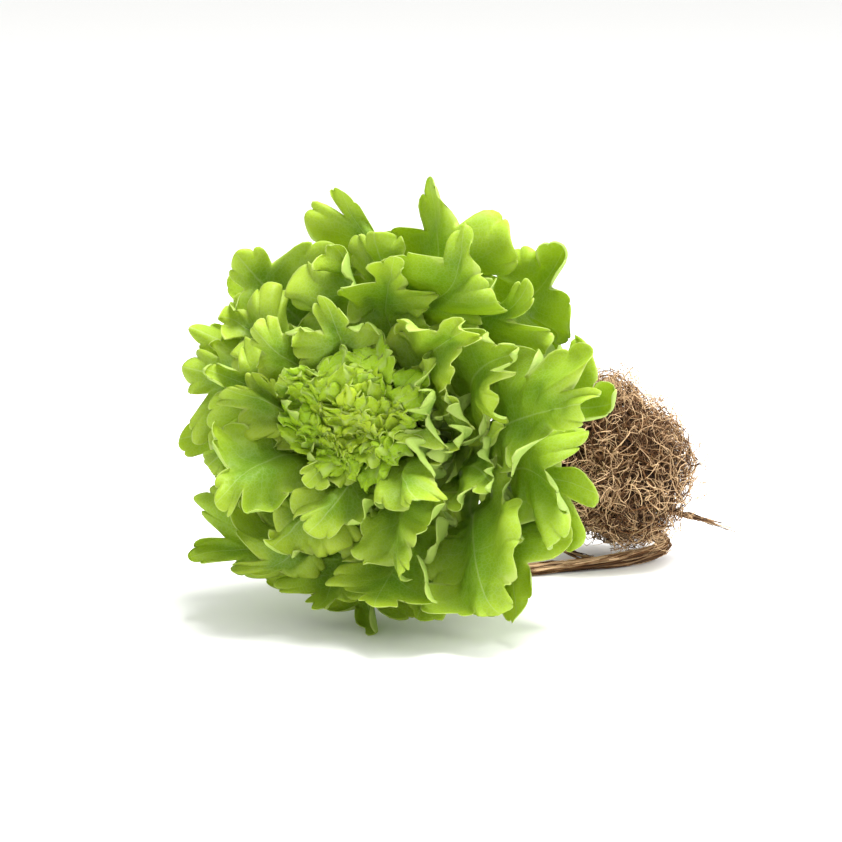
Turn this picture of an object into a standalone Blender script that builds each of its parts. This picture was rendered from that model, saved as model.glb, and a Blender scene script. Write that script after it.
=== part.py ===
# Oak leaf lettuce pulled with its roots, lying on its side.
# The head is modelled standing, its axis along +Z and the foot of its stem at the origin.
# An empty then lays it on the ground plane z = 0 with its rosette facing -Y and slightly up.

import math
import random

import bmesh
import bpy
import numpy as np
from mathutils import Matrix, Vector

# The head, in metres and radians
HEAD_RADIUS = 0.130
RIM_HEIGHT = 0.090
CROWN_RISE = 0.088
HEART_DIP = 0.018
HEART_DIP_RADIUS = 0.036
HEAD_TILT = math.radians(16)
AXIS_HEIGHT = 0.080
SQUASH = 0.22
SQUASH_RADIUS = 0.055

# Where the head's outline swells or draws in: degrees round the axis, half width in degrees, share of the radius
BULGES = (
    (27, 20, 0.15), (60, 18, 0.06), (96, 11, -0.11), (133, 20, 0.14), (186, 20, 0.09), (-150, 14, -0.06),
    (-88, 20, -0.03), (-50, 18, 0.13), (-10, 14, -0.10),
)
# The soft waves that bend the whole head out of its even round: wavelength, reach, how many, and within what radius
WARPS = ((0.075, 0.0110, 8, None), (0.022, 0.0036, 10, 0.055))

# The stem
STEM_RADIUS = 0.0135
STEM_TOP_RADIUS = 0.0050
STEM_LENGTH = 0.050
STEM_FOOT = -0.006
STEM_GAP = 0.0014

# The leaves, counted from the outermost inwards; a pair of values is for the outermost and the innermost leaf
LEAF_COUNT = 44
GOLDEN_ANGLE = math.radians(137.508)
INNERMOST_DEPTH = 0.80
LEAF_THICKNESS = 0.0009
LEAF_ROOT_LOW = 0.004
LEAF_ROOT_HIGH = 0.045
WIDEST_WRAP = 0.80

# The outline of a leaf, as shares of its length: the web along the midrib, and the lobes that stand out of it
LOBES = 3.5
TOP_WEB = (0.850, 0.89)
LOBE_PITCH = (0.160, 0.105)
WEB_WIDTHS = (0.056, 0.125, 0.120)
LOBE_LENGTHS = (0.165, 0.180, 0.190, 0.150)
INNER_WEB = 0.85
INNER_LOBE = 0.62
PETIOLE = (0.0085, 0.0050)
INNER_FROM = 33
TIP_SWELL = 0.45
LOBE_SWELL = 0.16
BLUNT = 0.82
LEAN_PITCH = 0.80
FOOT_PITCH = 0.82

# The waves that the leaves share, and the part of the room around a leaf that its lobes roll through
OUTER_RUFFLE = 0.0080
INNER_RUFFLE = 0.0050
RUFFLE_DRIFT = 0.12
FREE_RUFFLE_RADIUS = 0.050
INNER_STEADY = 0.85
NEIGHBOUR_STEP = 5
OUTERMOST_ROOM = 0.016
ROLL = 0.75
SHARPEST_BEND = 2.0
CUP = 0.60
LEAN = 0.35
TWIST = 0.50
CALMED = {
    1: 0.88, 2: 0.24, 3: 0.24, 5: 0.24, 6: 0.36, 7: 0.84, 8: 0.64, 10: 0.6, 11: 0.76, 13: 0.72,
    15: 0.28, 16: 0.52, 17: 0.32, 18: 0.32, 19: 0.36, 20: 0.32, 21: 0.8, 22: 0.36, 26: 0.68, 27: 0.52,
    30: 0.04, 31: 0.68, 32: 0.56, 33: 0.36, 34: 0.56, 35: 0.56, 36: 0.52, 37: 0.68, 38: 0.8, 39: 0.52,
    40: 0.38, 41: 0.48, 42: 0.6, 43: 0.38, 44: 0.48,
}

# The heart: small frilled leaves standing out of a core
HEART_LEAVES = 9
HEART_DEPTH = 0.82
HEART_CORE = ((0.0030, 0.052), (0.0045, 0.075), (0.0065, 0.105), (0.0100, 0.128), (0.0120, 0.142), (0.0060, 0.150))
HEART_LEAF_START = 0.68
HEART_FRILL = 0.0030
HEART_SCALLOP = 0.20

# The roots, in the frame of the laid head: the foot of its stem is at (0, 0, AXIS_HEIGHT)
BALL_CENTRE = Vector((0.066, 0.064, 0.055))
BALL_SIZE = Vector((0.043, 0.046, 0.053))
# The hollow under the ball: which way it lies, how wide it is and how far it is drawn in there
BALL_HOLLOW = ((-0.21, -0.31, -0.93), 0.62, 0.36)
BALL_LUMPS = ((0.10, (2.3, -1.1, 1.9), 0.4), (0.08, (-1.6, 3.1, 2.2), 2.1), (0.05, (4.2, 2.6, -3.3), 4.0))
BALL_CORE = 0.72
BALL_FIBRES = 34
FIBRE_POINTS = 5
FIBRE_RADIUS = 0.0014
NECK = (
    (0, 0.00615, 0.07824), (0, 0.01442, 0.07587), (0.011, 0.028, 0.0715), (0.031, 0.043, 0.064), (0.054, 0.058, 0.056),
)
NECK_RADII = (0.0125, 0.0115, 0.0090, 0.0080, 0.0060)
STRANDS = (
    (0.0034, 6, (
        (0.080, 0.070, 0.022), (0.100, 0.078, 0.010), (0.088, 0.060, 0.0040), (0.064, 0.036, 0.0035),
        (0.040, 0.012, 0.003), (0.014, -0.008, 0.0025), (-0.010, -0.022, 0.002),
    )),
    (0.0026, 5, (
        (0.084, 0.064, 0.024), (0.103, 0.070, 0.013), (0.082, 0.047, 0.007), (0.056, 0.024, 0.005),
        (0.034, 0.003, 0.005), (0.016, -0.018, 0.002),
    )),
    (0.0023, 5, (
        (0.036, 0.044, 0.060), (0.032, 0.032, 0.040), (0.040, 0.030, 0.022), (0.056, 0.040, 0.008), (0.066, 0.046, 0.005),
    )),
    (0.0020, 5, ((0.082, 0.070, 0.046), (0.100, 0.086, 0.030), (0.112, 0.094, 0.024), (0.136, 0.110, 0.0145))),
)

# How the lowest leaves are pressed by the ground
GROUND_SOFTNESS = 0.005
GROUND_STEP = 0.0014
LOWEST_LEAF = 2

SEED = 12


def mix(a, b, t):
    return a + (b - a) * t


def smooth(low, high, x):
    t = np.clip((x - low) / (high - low), 0.0, 1.0)
    return t * t * (3 - 2 * t)


def warped(places):
    """Places of the standing head, squeezed towards the heart and bent by waves that all its leaves share."""
    radius = np.hypot(places[:, 0], places[:, 1])
    squeezed = places.copy()
    squeezed[:, 1] *= 1 - SQUASH * np.exp(-((radius / SQUASH_RADIUS) ** 2)) * smooth(0.045, 0.105, places[:, 2])
    draw = np.random.default_rng(SEED)
    moved = squeezed.copy()
    around = np.degrees(np.arctan2(squeezed[:, 1], squeezed[:, 0]))
    for middle, half_width, share in BULGES:
        off = (around - middle + 180) % 360 - 180
        swell = share * np.exp(-((off / half_width) ** 2)) * smooth(0.03, 0.11, radius) * smooth(0.020, 0.080, places[:, 2])
        moved[:, :2] += squeezed[:, :2] * swell[:, None]
    for pitch, reach, count, within in WARPS:
        weight = smooth(0.020, 0.080, places[:, 2]) * smooth(0.012, 0.035, np.hypot(radius, places[:, 2] - 0.05))
        if within:
            weight = weight * (1 - smooth(0.6 * within, 1.3 * within, radius)) * smooth(0.070, 0.110, places[:, 2])
        for number in range(count):
            way = draw.normal(size=3)
            way *= math.tau / (np.linalg.norm(way) * pitch * draw.uniform(0.8, 1.25))
            push = draw.normal(size=3)
            push *= reach / (np.linalg.norm(push) * math.sqrt(count))
            start = draw.uniform(0, math.tau)
            moved += (weight * np.sin(squeezed @ way + start))[:, None] * push
    return moved


def clear_scene():
    for obj in list(bpy.data.objects):
        bpy.data.objects.remove(obj, do_unlink=True)


def material(name, colour, roughness):
    made = bpy.data.materials.new(name)
    made.use_nodes = True
    shader = made.node_tree.nodes["Principled BSDF"]
    shader.inputs["Base Color"].default_value = (*colour, 1.0)
    shader.inputs["Roughness"].default_value = roughness
    shader.inputs["Metallic"].default_value = 0.0
    return made


class Layer:
    """The surface of revolution that the leaf at depth t follows: 0 is outermost, 1 is on the axis."""

    SAMPLES = 61

    def __init__(self, t):
        turn = t * math.pi / 2
        tip_radius = HEAD_RADIUS * math.cos(turn) ** 0.85
        dip = HEART_DIP * math.exp(-((tip_radius / HEART_DIP_RADIUS) ** 2))
        root_height = mix(LEAF_ROOT_LOW, LEAF_ROOT_HIGH, t)
        root_radius = mix(STEM_RADIUS, STEM_TOP_RADIUS, root_height / STEM_LENGTH) + STEM_GAP
        root = np.array((root_radius, root_height))
        tip = np.array((tip_radius, RIM_HEIGHT + CROWN_RISE * math.sin(turn) - dip))
        root_angle = math.radians(mix(92, 4, t**0.75))
        tip_angle = math.radians(mix(96, 40, t**0.85))
        reach = np.hypot(*(tip - root))
        leaving = root + 0.48 * reach * np.array((math.sin(root_angle), math.cos(root_angle)))
        self.flare = np.array((math.sin(tip_angle), math.cos(tip_angle)))
        arriving = tip - 0.42 * reach * self.flare
        w = np.linspace(0, 1, self.SAMPLES)[:, None]
        self.line = root * (1 - w) ** 3 + 3 * leaving * w * (1 - w) ** 2 + 3 * arriving * w**2 * (1 - w) + tip * w**3
        self.runs = np.concatenate(((0.0,), np.cumsum(np.hypot(*np.diff(self.line, axis=0).T))))
        self.length = float(self.runs[-1])

    def at(self, x):
        """The radii and heights at x along the layer's line, and the unit ways from there towards the inner layers."""
        radii, heights = self.line.T
        beyond = np.maximum(x - self.length, 0.0)
        radius = np.interp(x, self.runs, radii) + self.flare[0] * beyond
        height = np.interp(x, self.runs, heights) + self.flare[1] * beyond
        outward = np.interp(x + 0.003, self.runs, radii) - np.interp(x - 0.003, self.runs, radii)
        upward = np.interp(x + 0.003, self.runs, heights) - np.interp(x - 0.003, self.runs, heights)
        outward = np.where(beyond > 0, self.flare[0], outward)
        upward = np.where(beyond > 0, self.flare[1], upward)
        size = np.hypot(outward, upward)
        return radius, height, -upward / size, outward / size


class Leaf:
    """One oak-shaped leaf: ribs leave its midrib and bend into the rounded lobes that they end in."""

    def __init__(self, index):
        draw = random.Random(SEED * 1000 + index)
        self.index = index
        self.depth = INNERMOST_DEPTH * index / (LEAF_COUNT - 1)
        self.age = self.depth / INNERMOST_DEPTH
        self.layer = Layer(self.depth)
        self.room = {side: self.room_to(index + side * NEIGHBOUR_STEP) for side in (-1, 1)}
        self.azimuth = index * GOLDEN_ANGLE + draw.uniform(-0.24, 0.24) * (1 - INNER_STEADY * self.age)
        self.length = self.layer.length * draw.uniform(0.92, 1.13)
        self.lean = draw.uniform(-1.0, 1.0) * LEAN
        self.sway = draw.uniform(-0.12, 0.12)
        self.broad = draw.uniform(0.90, 1.06)
        self.roll = CALMED.get(index + 1, 1.0)
        ends = range(math.ceil(LOBES) + 1)
        drawn = []
        for least, most in ((-1.0, 1.0), (-1.0, 0.6), (0.80, 1.15), (-1.0, 1.0)):
            values = {side: np.array([draw.uniform(least, most) for lobe in ends]) for side in (-1, 1)}
            values[1][0] = values[-1][0]
            drawn.append(values)
        self.curls, self.cups, self.sizes, self.twists = drawn

    def room_to(self, index):
        """The distances from the samples of this leaf's layer to the layer of another leaf."""
        if index < 0:
            return np.full(Layer.SAMPLES, OUTERMOST_ROOM)
        other = Layer(INNERMOST_DEPTH * index / (LEAF_COUNT - 1)).line
        return np.min(np.hypot(*(self.layer.line[:, None] - other[None]).transpose(2, 0, 1)), axis=1)

    def along_lobes(self, values, right, phase):
        """The value of a lobe's own setting, passing from one lobe to the next at the notch between them."""
        lobe = np.minimum(len(values[1]) - 2, phase.astype(int))
        over = smooth(0.30, 0.70, np.minimum(phase, len(values[1]) - 1) - lobe)
        found = {side: mix(values[side][lobe], values[side][lobe + 1], over) for side in (-1, 1)}
        return np.where(right, found[1], found[-1])

    def flat_place(self, phase, right, reach):
        """The place on the flat leaf of a rib at `reach` of its way out, and the rib's length.

        The phase counts the lobes from the tip, and beyond the last lobe it runs down the stalk.
        """
        age = self.age
        top, pitch = mix(*TOP_WEB, age), mix(*LOBE_PITCH, age)
        webs = np.append(np.array(WEB_WIDTHS) * mix(1.0, INNER_WEB, age), mix(*PETIOLE, age) / self.length)
        lobe = np.clip(np.floor(phase + 0.5), 0, len(webs) - 1).astype(int)
        aside = np.clip(phase - lobe, -0.5, 0.5)
        first = lobe == 0
        after = np.stack((top - pitch * lobe, webs[lobe]))
        before = np.stack((top - pitch * (lobe - 1), webs[np.maximum(lobe - 1, 0)]))
        before = np.where(first, after * np.array(((1,), (-1,))), before)
        middle, half = (before + after) / 2, (after - before) / 2
        lean = math.pi / 2 * (1 - np.exp(-lobe / LEAN_PITCH))
        out = np.array(LOBE_LENGTHS)[lobe] * mix(1.0, INNER_LOBE, age)
        out = out * np.where(right, self.sizes[1][lobe], self.sizes[-1][lobe])
        out = out * np.clip(np.cos(math.pi * aside), 0, 1) ** BLUNT
        swell = np.where(first, TIP_SWELL, LOBE_SWELL)
        wide = np.sin(math.pi * aside) + swell * np.sin(2 * math.pi * aside)
        base = middle + half * 2 * aside
        end = middle + half * wide + np.stack((np.cos(lean), np.sin(lean))) * out
        foot = np.stack((top - pitch * FOOT_PITCH * np.minimum(phase, LOBES), np.zeros(len(phase))))
        scale = np.stack((1 - np.clip(phase - LOBES, 0, 1), np.full(len(phase), self.broad))) * self.length
        foot, base, end = foot * scale, base * scale, end * scale
        place = (1 - reach) ** 2 * foot + 2 * reach * (1 - reach) * base + reach**2 * end
        return place, np.hypot(*(base - foot)) + np.hypot(*(end - base))

    def places(self, phase, v):
        """The places in the standing head of ribs of this phase, at v across from -1 to 1."""
        right = v >= 0
        across = np.abs(v)
        lobed = 1 - smooth(LOBES - 0.5, LOBES, phase)
        (flat_x, flat_y), rib = self.flat_place(phase, right, across)
        inner_room, outer_room = (np.interp(flat_x, self.layer.runs, self.room[side]) for side in (1, -1))

        # the rib bends ever faster towards its end, so that the lobe's edge rolls over
        curl = self.along_lobes(self.curls, right, phase)
        curl = np.sign(curl) * np.abs(curl) ** 0.6 * lobed * self.roll * ROLL
        bend = np.clip(6 * curl * np.where(curl < 0, outer_room, inner_room) / rib, -SHARPEST_BEND, SHARPEST_BEND)
        reach = across - bend**2 * across**11 / 22 + bend**4 * across**21 / 504
        rise = bend * across**6 / 6 - bend**3 * across**16 / 96 + bend**5 * across**26 / 3120

        (x, y), rib = self.flat_place(phase, right, reach)
        way_along = x / self.layer.length
        radius, height, inward_radius, inward_height = self.layer.at(x)
        y = y * np.sign(v) + self.sway * way_along**2 * self.length * 0.5
        phi = self.azimuth + WIDEST_WRAP * np.tanh(y / (radius * WIDEST_WRAP))
        cup = CUP * self.along_lobes(self.cups, right, phase) * across**1.3 * np.sin(math.pi * phase) ** 2
        twist = TWIST * self.along_lobes(self.twists, right, phase) * np.sign(v) * np.sin(2 * math.pi * phase)
        turn = ((cup + twist * across**1.5) * lobed + self.lean * smooth(0.3, 1.0, way_along)) * self.roll
        lift = self.ruffle(phi, way_along, radius) + rise * rib + turn * np.where(turn < 0, outer_room, inner_room)
        radius = radius + lift * inward_radius
        height = height + lift * inward_height
        return np.stack((radius * np.cos(phi), radius * np.sin(phi), height), axis=1)

    def ruffle(self, phi, way_along, radius):
        """How far the shared waves lift this layer inwards there."""
        size = mix(OUTER_RUFFLE, INNER_RUFFLE, self.depth) * smooth(0.40, 1.0, way_along)
        size = size * np.minimum(1.0, radius / FREE_RUFFLE_RADIUS)
        drift = RUFFLE_DRIFT * self.index
        broad = np.sin(9 * phi - drift + 3 * way_along)
        tight = np.sin(17 * phi + drift + 7 * way_along + 1.3)
        return size * (0.45 * broad + 0.55 * tight)

    def pressed(self, places):
        """The places moved up, along the lying head's vertical, where the ground would be in their way."""
        up = np.array((0, math.cos(HEAD_TILT), math.sin(HEAD_TILT)))
        above = AXIS_HEIGHT + places @ up - GROUND_STEP * max(0, self.index - LOWEST_LEAF)
        near = np.minimum(above, 8 * GROUND_SOFTNESS)
        lifted = np.where(above > near, above, GROUND_SOFTNESS * np.log1p(np.exp(near / GROUND_SOFTNESS)))
        return places + (lifted - above)[:, None] * up


# The ribs of a lobe that the solid has, as steps from its vein, and where they have their points across
RIB_STEPS = (-0.30, 0.0, 0.30, 0.5)
ACROSS = (-1.0, -0.55, 0.0, 0.55, 1.0)


def leaf_sheet(leaf):
    """The leaf's middle surface as an open mesh of triangles, with its two halves sewn together at the tip."""
    rows = [lobe + step for lobe in range(math.floor(LOBES)) for step in RIB_STEPS if lobe + step >= 0]
    last = math.floor(LOBES)
    stalk = 3 if leaf.index >= INNER_FROM else 2
    rows = sorted(rows + [last - 0.25, last + 0.1] + [LOBES + n / stalk for n in range(stalk + 1)], reverse=True)
    sheet = bmesh.new()
    bmesh.ops.create_grid(sheet, x_segments=len(ACROSS) - 1, y_segments=len(rows) - 1, size=1.0)
    phase = np.array([rows[round((vert.co.y + 1) / 2 * (len(rows) - 1))] for vert in sheet.verts])
    v = np.array([ACROSS[round((vert.co.x + 1) / 2 * (len(ACROSS) - 1))] for vert in sheet.verts])
    places = leaf.pressed(warped(leaf.places(phase, v)))
    for vert, place in zip(sheet.verts, places):
        vert.co = place
    bmesh.ops.remove_doubles(sheet, verts=sheet.verts, dist=0.00001)
    bmesh.ops.triangulate(sheet, faces=sheet.faces)
    return sheet


def make_leaf(index, green, head):
    leaf = Leaf(index)
    sheet = leaf_sheet(leaf)
    mesh = bpy.data.meshes.new(f"leaf_{index + 1:02d}")
    sheet.to_mesh(mesh)
    sheet.free()
    obj = bpy.data.objects.new(mesh.name, mesh)
    bpy.context.collection.objects.link(obj)
    solid = obj.modifiers.new("thickness", "SOLIDIFY")
    solid.thickness = LEAF_THICKNESS
    solid.offset = 0.0
    obj.data.materials.append(green)
    obj.parent = head
    return obj


def link(name, shape, colour, parent):
    """An object of the mesh built in a bmesh, which is freed."""
    mesh = bpy.data.meshes.new(name)
    bmesh.ops.recalc_face_normals(shape, faces=shape.faces)
    shape.to_mesh(mesh)
    shape.free()
    obj = bpy.data.objects.new(name, mesh)
    bpy.context.collection.objects.link(obj)
    obj.data.materials.append(colour)
    obj.parent = parent
    return obj


def make_stem(pale, head):
    body = bmesh.new()
    bmesh.ops.create_cone(
        body, cap_ends=True, segments=16,
        radius1=STEM_RADIUS, radius2=STEM_TOP_RADIUS, depth=STEM_LENGTH - STEM_FOOT,
        matrix=Matrix.Translation((0, 0, (STEM_LENGTH + STEM_FOOT) / 2)),
    )
    return link("stem", body, pale, head)


def tube(places, radii, sides):
    """A closed tube through the places: a grid rolled up and sewn, its two ends filled."""
    shape = bmesh.new()
    bmesh.ops.create_grid(shape, x_segments=sides, y_segments=len(places) - 1, size=1.0)
    ways = [(places[min(k + 1, len(places) - 1)] - places[max(k - 1, 0)]).normalized() for k in range(len(places))]
    across = ways[0].orthogonal().normalized()
    frames = []
    for way in ways:
        across = (across - across.dot(way) * way).normalized()
        frames.append((across.copy(), way.cross(across)))
    for vert in shape.verts:
        k = round((vert.co.y + 1) / 2 * (len(places) - 1))
        turn = math.tau * round((vert.co.x + 1) / 2 * sides) / sides
        one, other = frames[k]
        vert.co = places[k] + (one * math.cos(turn) + other * math.sin(turn)) * radii[k]
    bmesh.ops.remove_doubles(shape, verts=shape.verts, dist=0.000001)
    bmesh.ops.holes_fill(shape, edges=[edge for edge in shape.edges if edge.is_boundary], sides=sides)
    bmesh.ops.triangulate(shape, faces=shape.faces)
    return shape


def spline(places, count):
    """Points spread along a smooth line through the places."""
    out = []
    for n in range(count):
        s = n / (count - 1) * (len(places) - 1)
        k = min(len(places) - 2, int(s))
        f = s - k
        a, b, c, d = (places[min(len(places) - 1, max(0, j))] for j in (k - 1, k, k + 1, k + 2))
        out.append(0.5 * (2 * b + (c - a) * f + (2 * a - 5 * b + 4 * c - d) * f**2 + (3 * b - a - 3 * c + d) * f**3))
    return out


def joined(name, pieces, colour, parent, solver, shortest):
    """One body of several overlapping closed shapes."""
    base = link(name, pieces[0], colour, parent)
    rest = bpy.data.collections.new(name + " pieces")
    for number, piece in enumerate(pieces[1:]):
        extra = link(f"{name} piece {number}", piece, colour, parent)
        bpy.context.collection.objects.unlink(extra)
        rest.objects.link(extra)
    union = base.modifiers.new("union", "BOOLEAN")
    union.operation = "UNION"
    union.operand_type = "COLLECTION"
    union.collection = rest
    union.solver = solver
    bpy.context.view_layer.update()
    mesh = bpy.data.meshes.new_from_object(base.evaluated_get(bpy.context.evaluated_depsgraph_get()))
    base.modifiers.clear()
    base.data = mesh
    for extra in list(rest.objects):
        bpy.data.objects.remove(extra, do_unlink=True)
    bpy.data.collections.remove(rest)
    tidy(mesh, shortest)
    return base


def tidy(mesh, shortest):
    """Welds edges below the shortest length, fills sealed hollows and drops loose scrap."""
    shape = bmesh.new()
    shape.from_mesh(mesh)
    bmesh.ops.dissolve_degenerate(shape, edges=shape.edges, dist=shortest)
    bmesh.ops.triangulate(shape, faces=shape.faces)
    left = set(shape.verts)
    shells = []
    while left:
        shell = set()
        front = [left.pop()]
        while front:
            vert = front.pop()
            shell.add(vert)
            for edge in vert.link_edges:
                other = edge.other_vert(vert)
                if other in left:
                    left.remove(other)
                    front.append(other)
        shells.append(shell)
    shells.sort(key=len)
    for shell in shells[:-1]:
        bmesh.ops.delete(shape, geom=list(shell), context="VERTS")
    shape.to_mesh(mesh)
    shape.free()


def heart_leaf(number):
    """One small leaf of the heart, from inside the core to its scalloped, frilled edge."""
    draw = random.Random(SEED * 5000 + number)
    depth = mix(HEART_DEPTH, 0.99, number / (HEART_LEAVES - 1))
    layer = Layer(depth)
    azimuth = (LEAF_COUNT + number) * GOLDEN_ANGLE
    phase = draw.uniform(0, math.tau)
    sheet = bmesh.new()
    bmesh.ops.create_grid(sheet, x_segments=5, y_segments=2, size=1.0)
    for vert in sheet.verts:
        v = vert.co.x
        u = (vert.co.y + 1) / 2
        scallop = HEART_SCALLOP * (1 - abs(math.cos(2.5 * math.pi * v)) ** 0.6) if u == 1 else 0
        x = layer.length * mix(HEART_LEAF_START, 0.98, u) * (1 - scallop * 0.3)
        radius, height, inward_radius, inward_height = layer.at(x)
        core = np.interp(height, [place[1] for place in HEART_CORE], [place[0] for place in HEART_CORE])
        radius = mix(min(radius, 0.6 * core), radius, smooth(0, 0.5, u))
        spread = mix(0.0030, 0.0140, u**0.7)
        lift = HEART_FRILL * u**2 * math.sin(3 * math.pi * v + phase)
        radius += lift * inward_radius
        height += lift * inward_height
        y = v * spread
        out = Vector((math.cos(azimuth), math.sin(azimuth), 0))
        aside = Vector((-out.y, out.x, 0))
        place = out * (radius - 0.25 * y * y / spread * u) + aside * y + Vector((0, 0, height))
        vert.co = warped(np.array(place)[None])[0]
    bmesh.ops.triangulate(sheet, faces=sheet.faces)
    return solidified(sheet, LEAF_THICKNESS)


def solidified(sheet, thickness):
    """The open sheet as a closed shape of the thickness."""
    mesh = bpy.data.meshes.new("sheet")
    sheet.to_mesh(mesh)
    sheet.free()
    obj = bpy.data.objects.new("sheet", mesh)
    bpy.context.collection.objects.link(obj)
    solid = obj.modifiers.new("thickness", "SOLIDIFY")
    solid.thickness = thickness
    solid.offset = 0.0
    bpy.context.view_layer.update()
    shape = bmesh.new()
    shape.from_object(obj, bpy.context.evaluated_depsgraph_get())
    bpy.data.objects.remove(obj, do_unlink=True)
    bmesh.ops.triangulate(shape, faces=shape.faces)
    return shape


def make_heart(colour, head):
    places = [Vector((0, 0, height)) for radius, height in HEART_CORE]
    pieces = [tube(places, [radius for radius, height in HEART_CORE], 8)]
    for vert in pieces[0].verts:
        vert.co = warped(np.array(vert.co)[None])[0]
    pieces += [heart_leaf(number) for number in range(HEART_LEAVES)]
    return joined("heart", pieces, colour, head, "MANIFOLD", 0.00002)


def ball_place(way, share):
    """The place in the direction way from the ball's centre, at a share of its lumpy size, kept above the ground."""
    share *= 1 + sum(size * math.sin(way.dot(Vector(turn)) + start) for size, turn, start in BALL_LUMPS)
    middle, width, depth = BALL_HOLLOW
    share *= 1 - depth * math.exp(-(((way - Vector(middle)).length / width) ** 2))
    place = BALL_CENTRE + Vector([share * size * part for size, part in zip(BALL_SIZE, way)])
    place.z = max(place.z, 0.0012 + 0.12 * (place.z + 0.01))
    return place


def ball_fibre(draw):
    """A root that leaves the core, runs round it and goes in again, or ends free."""
    start = Vector((draw.gauss(0, 1), draw.gauss(0, 1), draw.gauss(0, 1))).normalized()
    axis = start.cross(Vector((draw.gauss(0, 1), draw.gauss(0, 1), draw.gauss(0, 1)))).normalized()
    turn = draw.uniform(0.7, 1.5)
    height = draw.uniform(0.90, 1.12)
    free = draw.random() < 0.25
    places = []
    for n in range(FIBRE_POINTS):
        s = n / (FIBRE_POINTS - 1)
        way = Matrix.Rotation(turn * s, 3, axis) @ start
        way = (way + 0.06 * Vector((draw.gauss(0, 1), draw.gauss(0, 1), draw.gauss(0, 1)))).normalized()
        arch = math.sin(math.pi * s * (0.6 if free else 1.0))
        places.append(ball_place(way, mix(0.60, height, min(1.0, 1.5 * arch))))
    radius = FIBRE_RADIUS * draw.uniform(0.8, 1.25)
    return tube(places, [radius] * FIBRE_POINTS, 3)


def make_roots(brown, plant):
    draw = random.Random(SEED * 9000)
    core = bmesh.new()
    bmesh.ops.create_icosphere(core, subdivisions=2, radius=1.0)
    for vert in core.verts:
        vert.co = ball_place(vert.co.normalized(), BALL_CORE)
    pieces = [core]
    pieces.append(tube([Vector(place) for place in NECK], NECK_RADII, 8))
    for radius, sides, places in STRANDS:
        count = max(7, len(places) + 2)
        line = spline([Vector(place) for place in places], count)
        radii = [radius * mix(1.0, 0.55, n / (count - 1)) for n in range(count)]
        pieces.append(tube(line, radii, sides))
    pieces += [ball_fibre(draw) for fibre in range(BALL_FIBRES)]
    return joined("roots", pieces, brown, plant, "MANIFOLD", 0.000005)


def centre(plant):
    """Moves the whole plant so that its box stands on z = 0, centred on the origin."""
    bpy.context.view_layer.update()
    graph = bpy.context.evaluated_depsgraph_get()
    corners = []
    for obj in bpy.data.objects:
        if obj.type == "MESH":
            shown = obj.evaluated_get(graph)
            mesh = shown.to_mesh()
            corners += [shown.matrix_world @ vert.co for vert in mesh.vertices]
            shown.to_mesh_clear()
    low = Vector([min(corner[k] for corner in corners) for k in range(3)])
    high = Vector([max(corner[k] for corner in corners) for k in range(3)])
    plant.location = -Vector(((low.x + high.x) / 2, (low.y + high.y) / 2, low.z))
    bpy.context.view_layer.update()


def main():
    clear_scene()
    plant = bpy.data.objects.new("lettuce", None)
    head = bpy.data.objects.new("head", None)
    for empty in (plant, head):
        bpy.context.collection.objects.link(empty)
    head.parent = plant
    head.location = (0, 0, AXIS_HEIGHT)
    head.rotation_euler = (math.pi / 2 - HEAD_TILT, 0, 0)
    green = material("leaf_green", (0.28, 0.50, 0.06), 0.45)
    yellow = material("heart_yellow", (0.50, 0.62, 0.09), 0.45)
    pale = material("stem_pale", (0.62, 0.70, 0.38), 0.5)
    brown = material("root_brown", (0.30, 0.19, 0.11), 0.8)
    make_stem(pale, head)
    for index in range(LEAF_COUNT):
        make_leaf(index, green, head)
    make_heart(yellow, head)
    make_roots(brown, plant)
    centre(plant)


main()
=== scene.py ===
# Oak leaf lettuce pulled with its roots, lying on its side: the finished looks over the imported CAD.
# The head is worked out standing, its axis along +Z and the foot of its stem at the origin, then laid down.

import math
import random
from functools import partial

import bmesh
import bpy
import numpy as np
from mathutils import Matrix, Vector


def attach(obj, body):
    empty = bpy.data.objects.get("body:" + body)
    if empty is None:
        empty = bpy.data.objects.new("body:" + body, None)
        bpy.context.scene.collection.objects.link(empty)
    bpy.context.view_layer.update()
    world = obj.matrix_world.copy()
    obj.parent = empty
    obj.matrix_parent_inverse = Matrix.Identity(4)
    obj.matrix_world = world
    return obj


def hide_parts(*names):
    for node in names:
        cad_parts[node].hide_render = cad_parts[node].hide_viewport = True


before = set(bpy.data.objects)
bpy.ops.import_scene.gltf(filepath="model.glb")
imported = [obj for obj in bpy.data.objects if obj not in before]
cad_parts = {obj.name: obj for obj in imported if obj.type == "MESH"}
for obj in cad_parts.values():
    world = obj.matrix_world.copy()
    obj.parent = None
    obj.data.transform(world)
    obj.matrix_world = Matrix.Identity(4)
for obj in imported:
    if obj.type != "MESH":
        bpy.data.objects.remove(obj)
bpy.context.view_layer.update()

seed = 12
goldenAngle = math.radians(137.508)

# Where the standing head is laid: its tilt from level, the height of its axis and the plant's place
laid = {
    "tilt": math.radians(16),
    "axisHeight": 0.080,
    "shift": (-0.0036348, 0.0389274, 0.0003370),
}

# The dome that the leaf tips make, and the lines that the leaves follow from the stem up to it
dome = {
    "radius": 0.130,
    "rimHeight": 0.090,
    "rise": 0.088,
    "heartDip": 0.018,
    "heartDipRadius": 0.036,
    "roundness": 0.85,
    "rootAngles": (92, 4),
    "rootQuickness": 0.75,
    "tipAngles": (96, 40),
    "tipQuickness": 0.85,
    "leavingReach": 0.48,
    "arrivingReach": 0.42,
    "lineSamples": 61,
    "slopeStep": 0.003,
    "squash": 0.22,
    "squashRadius": 0.055,
}

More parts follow.
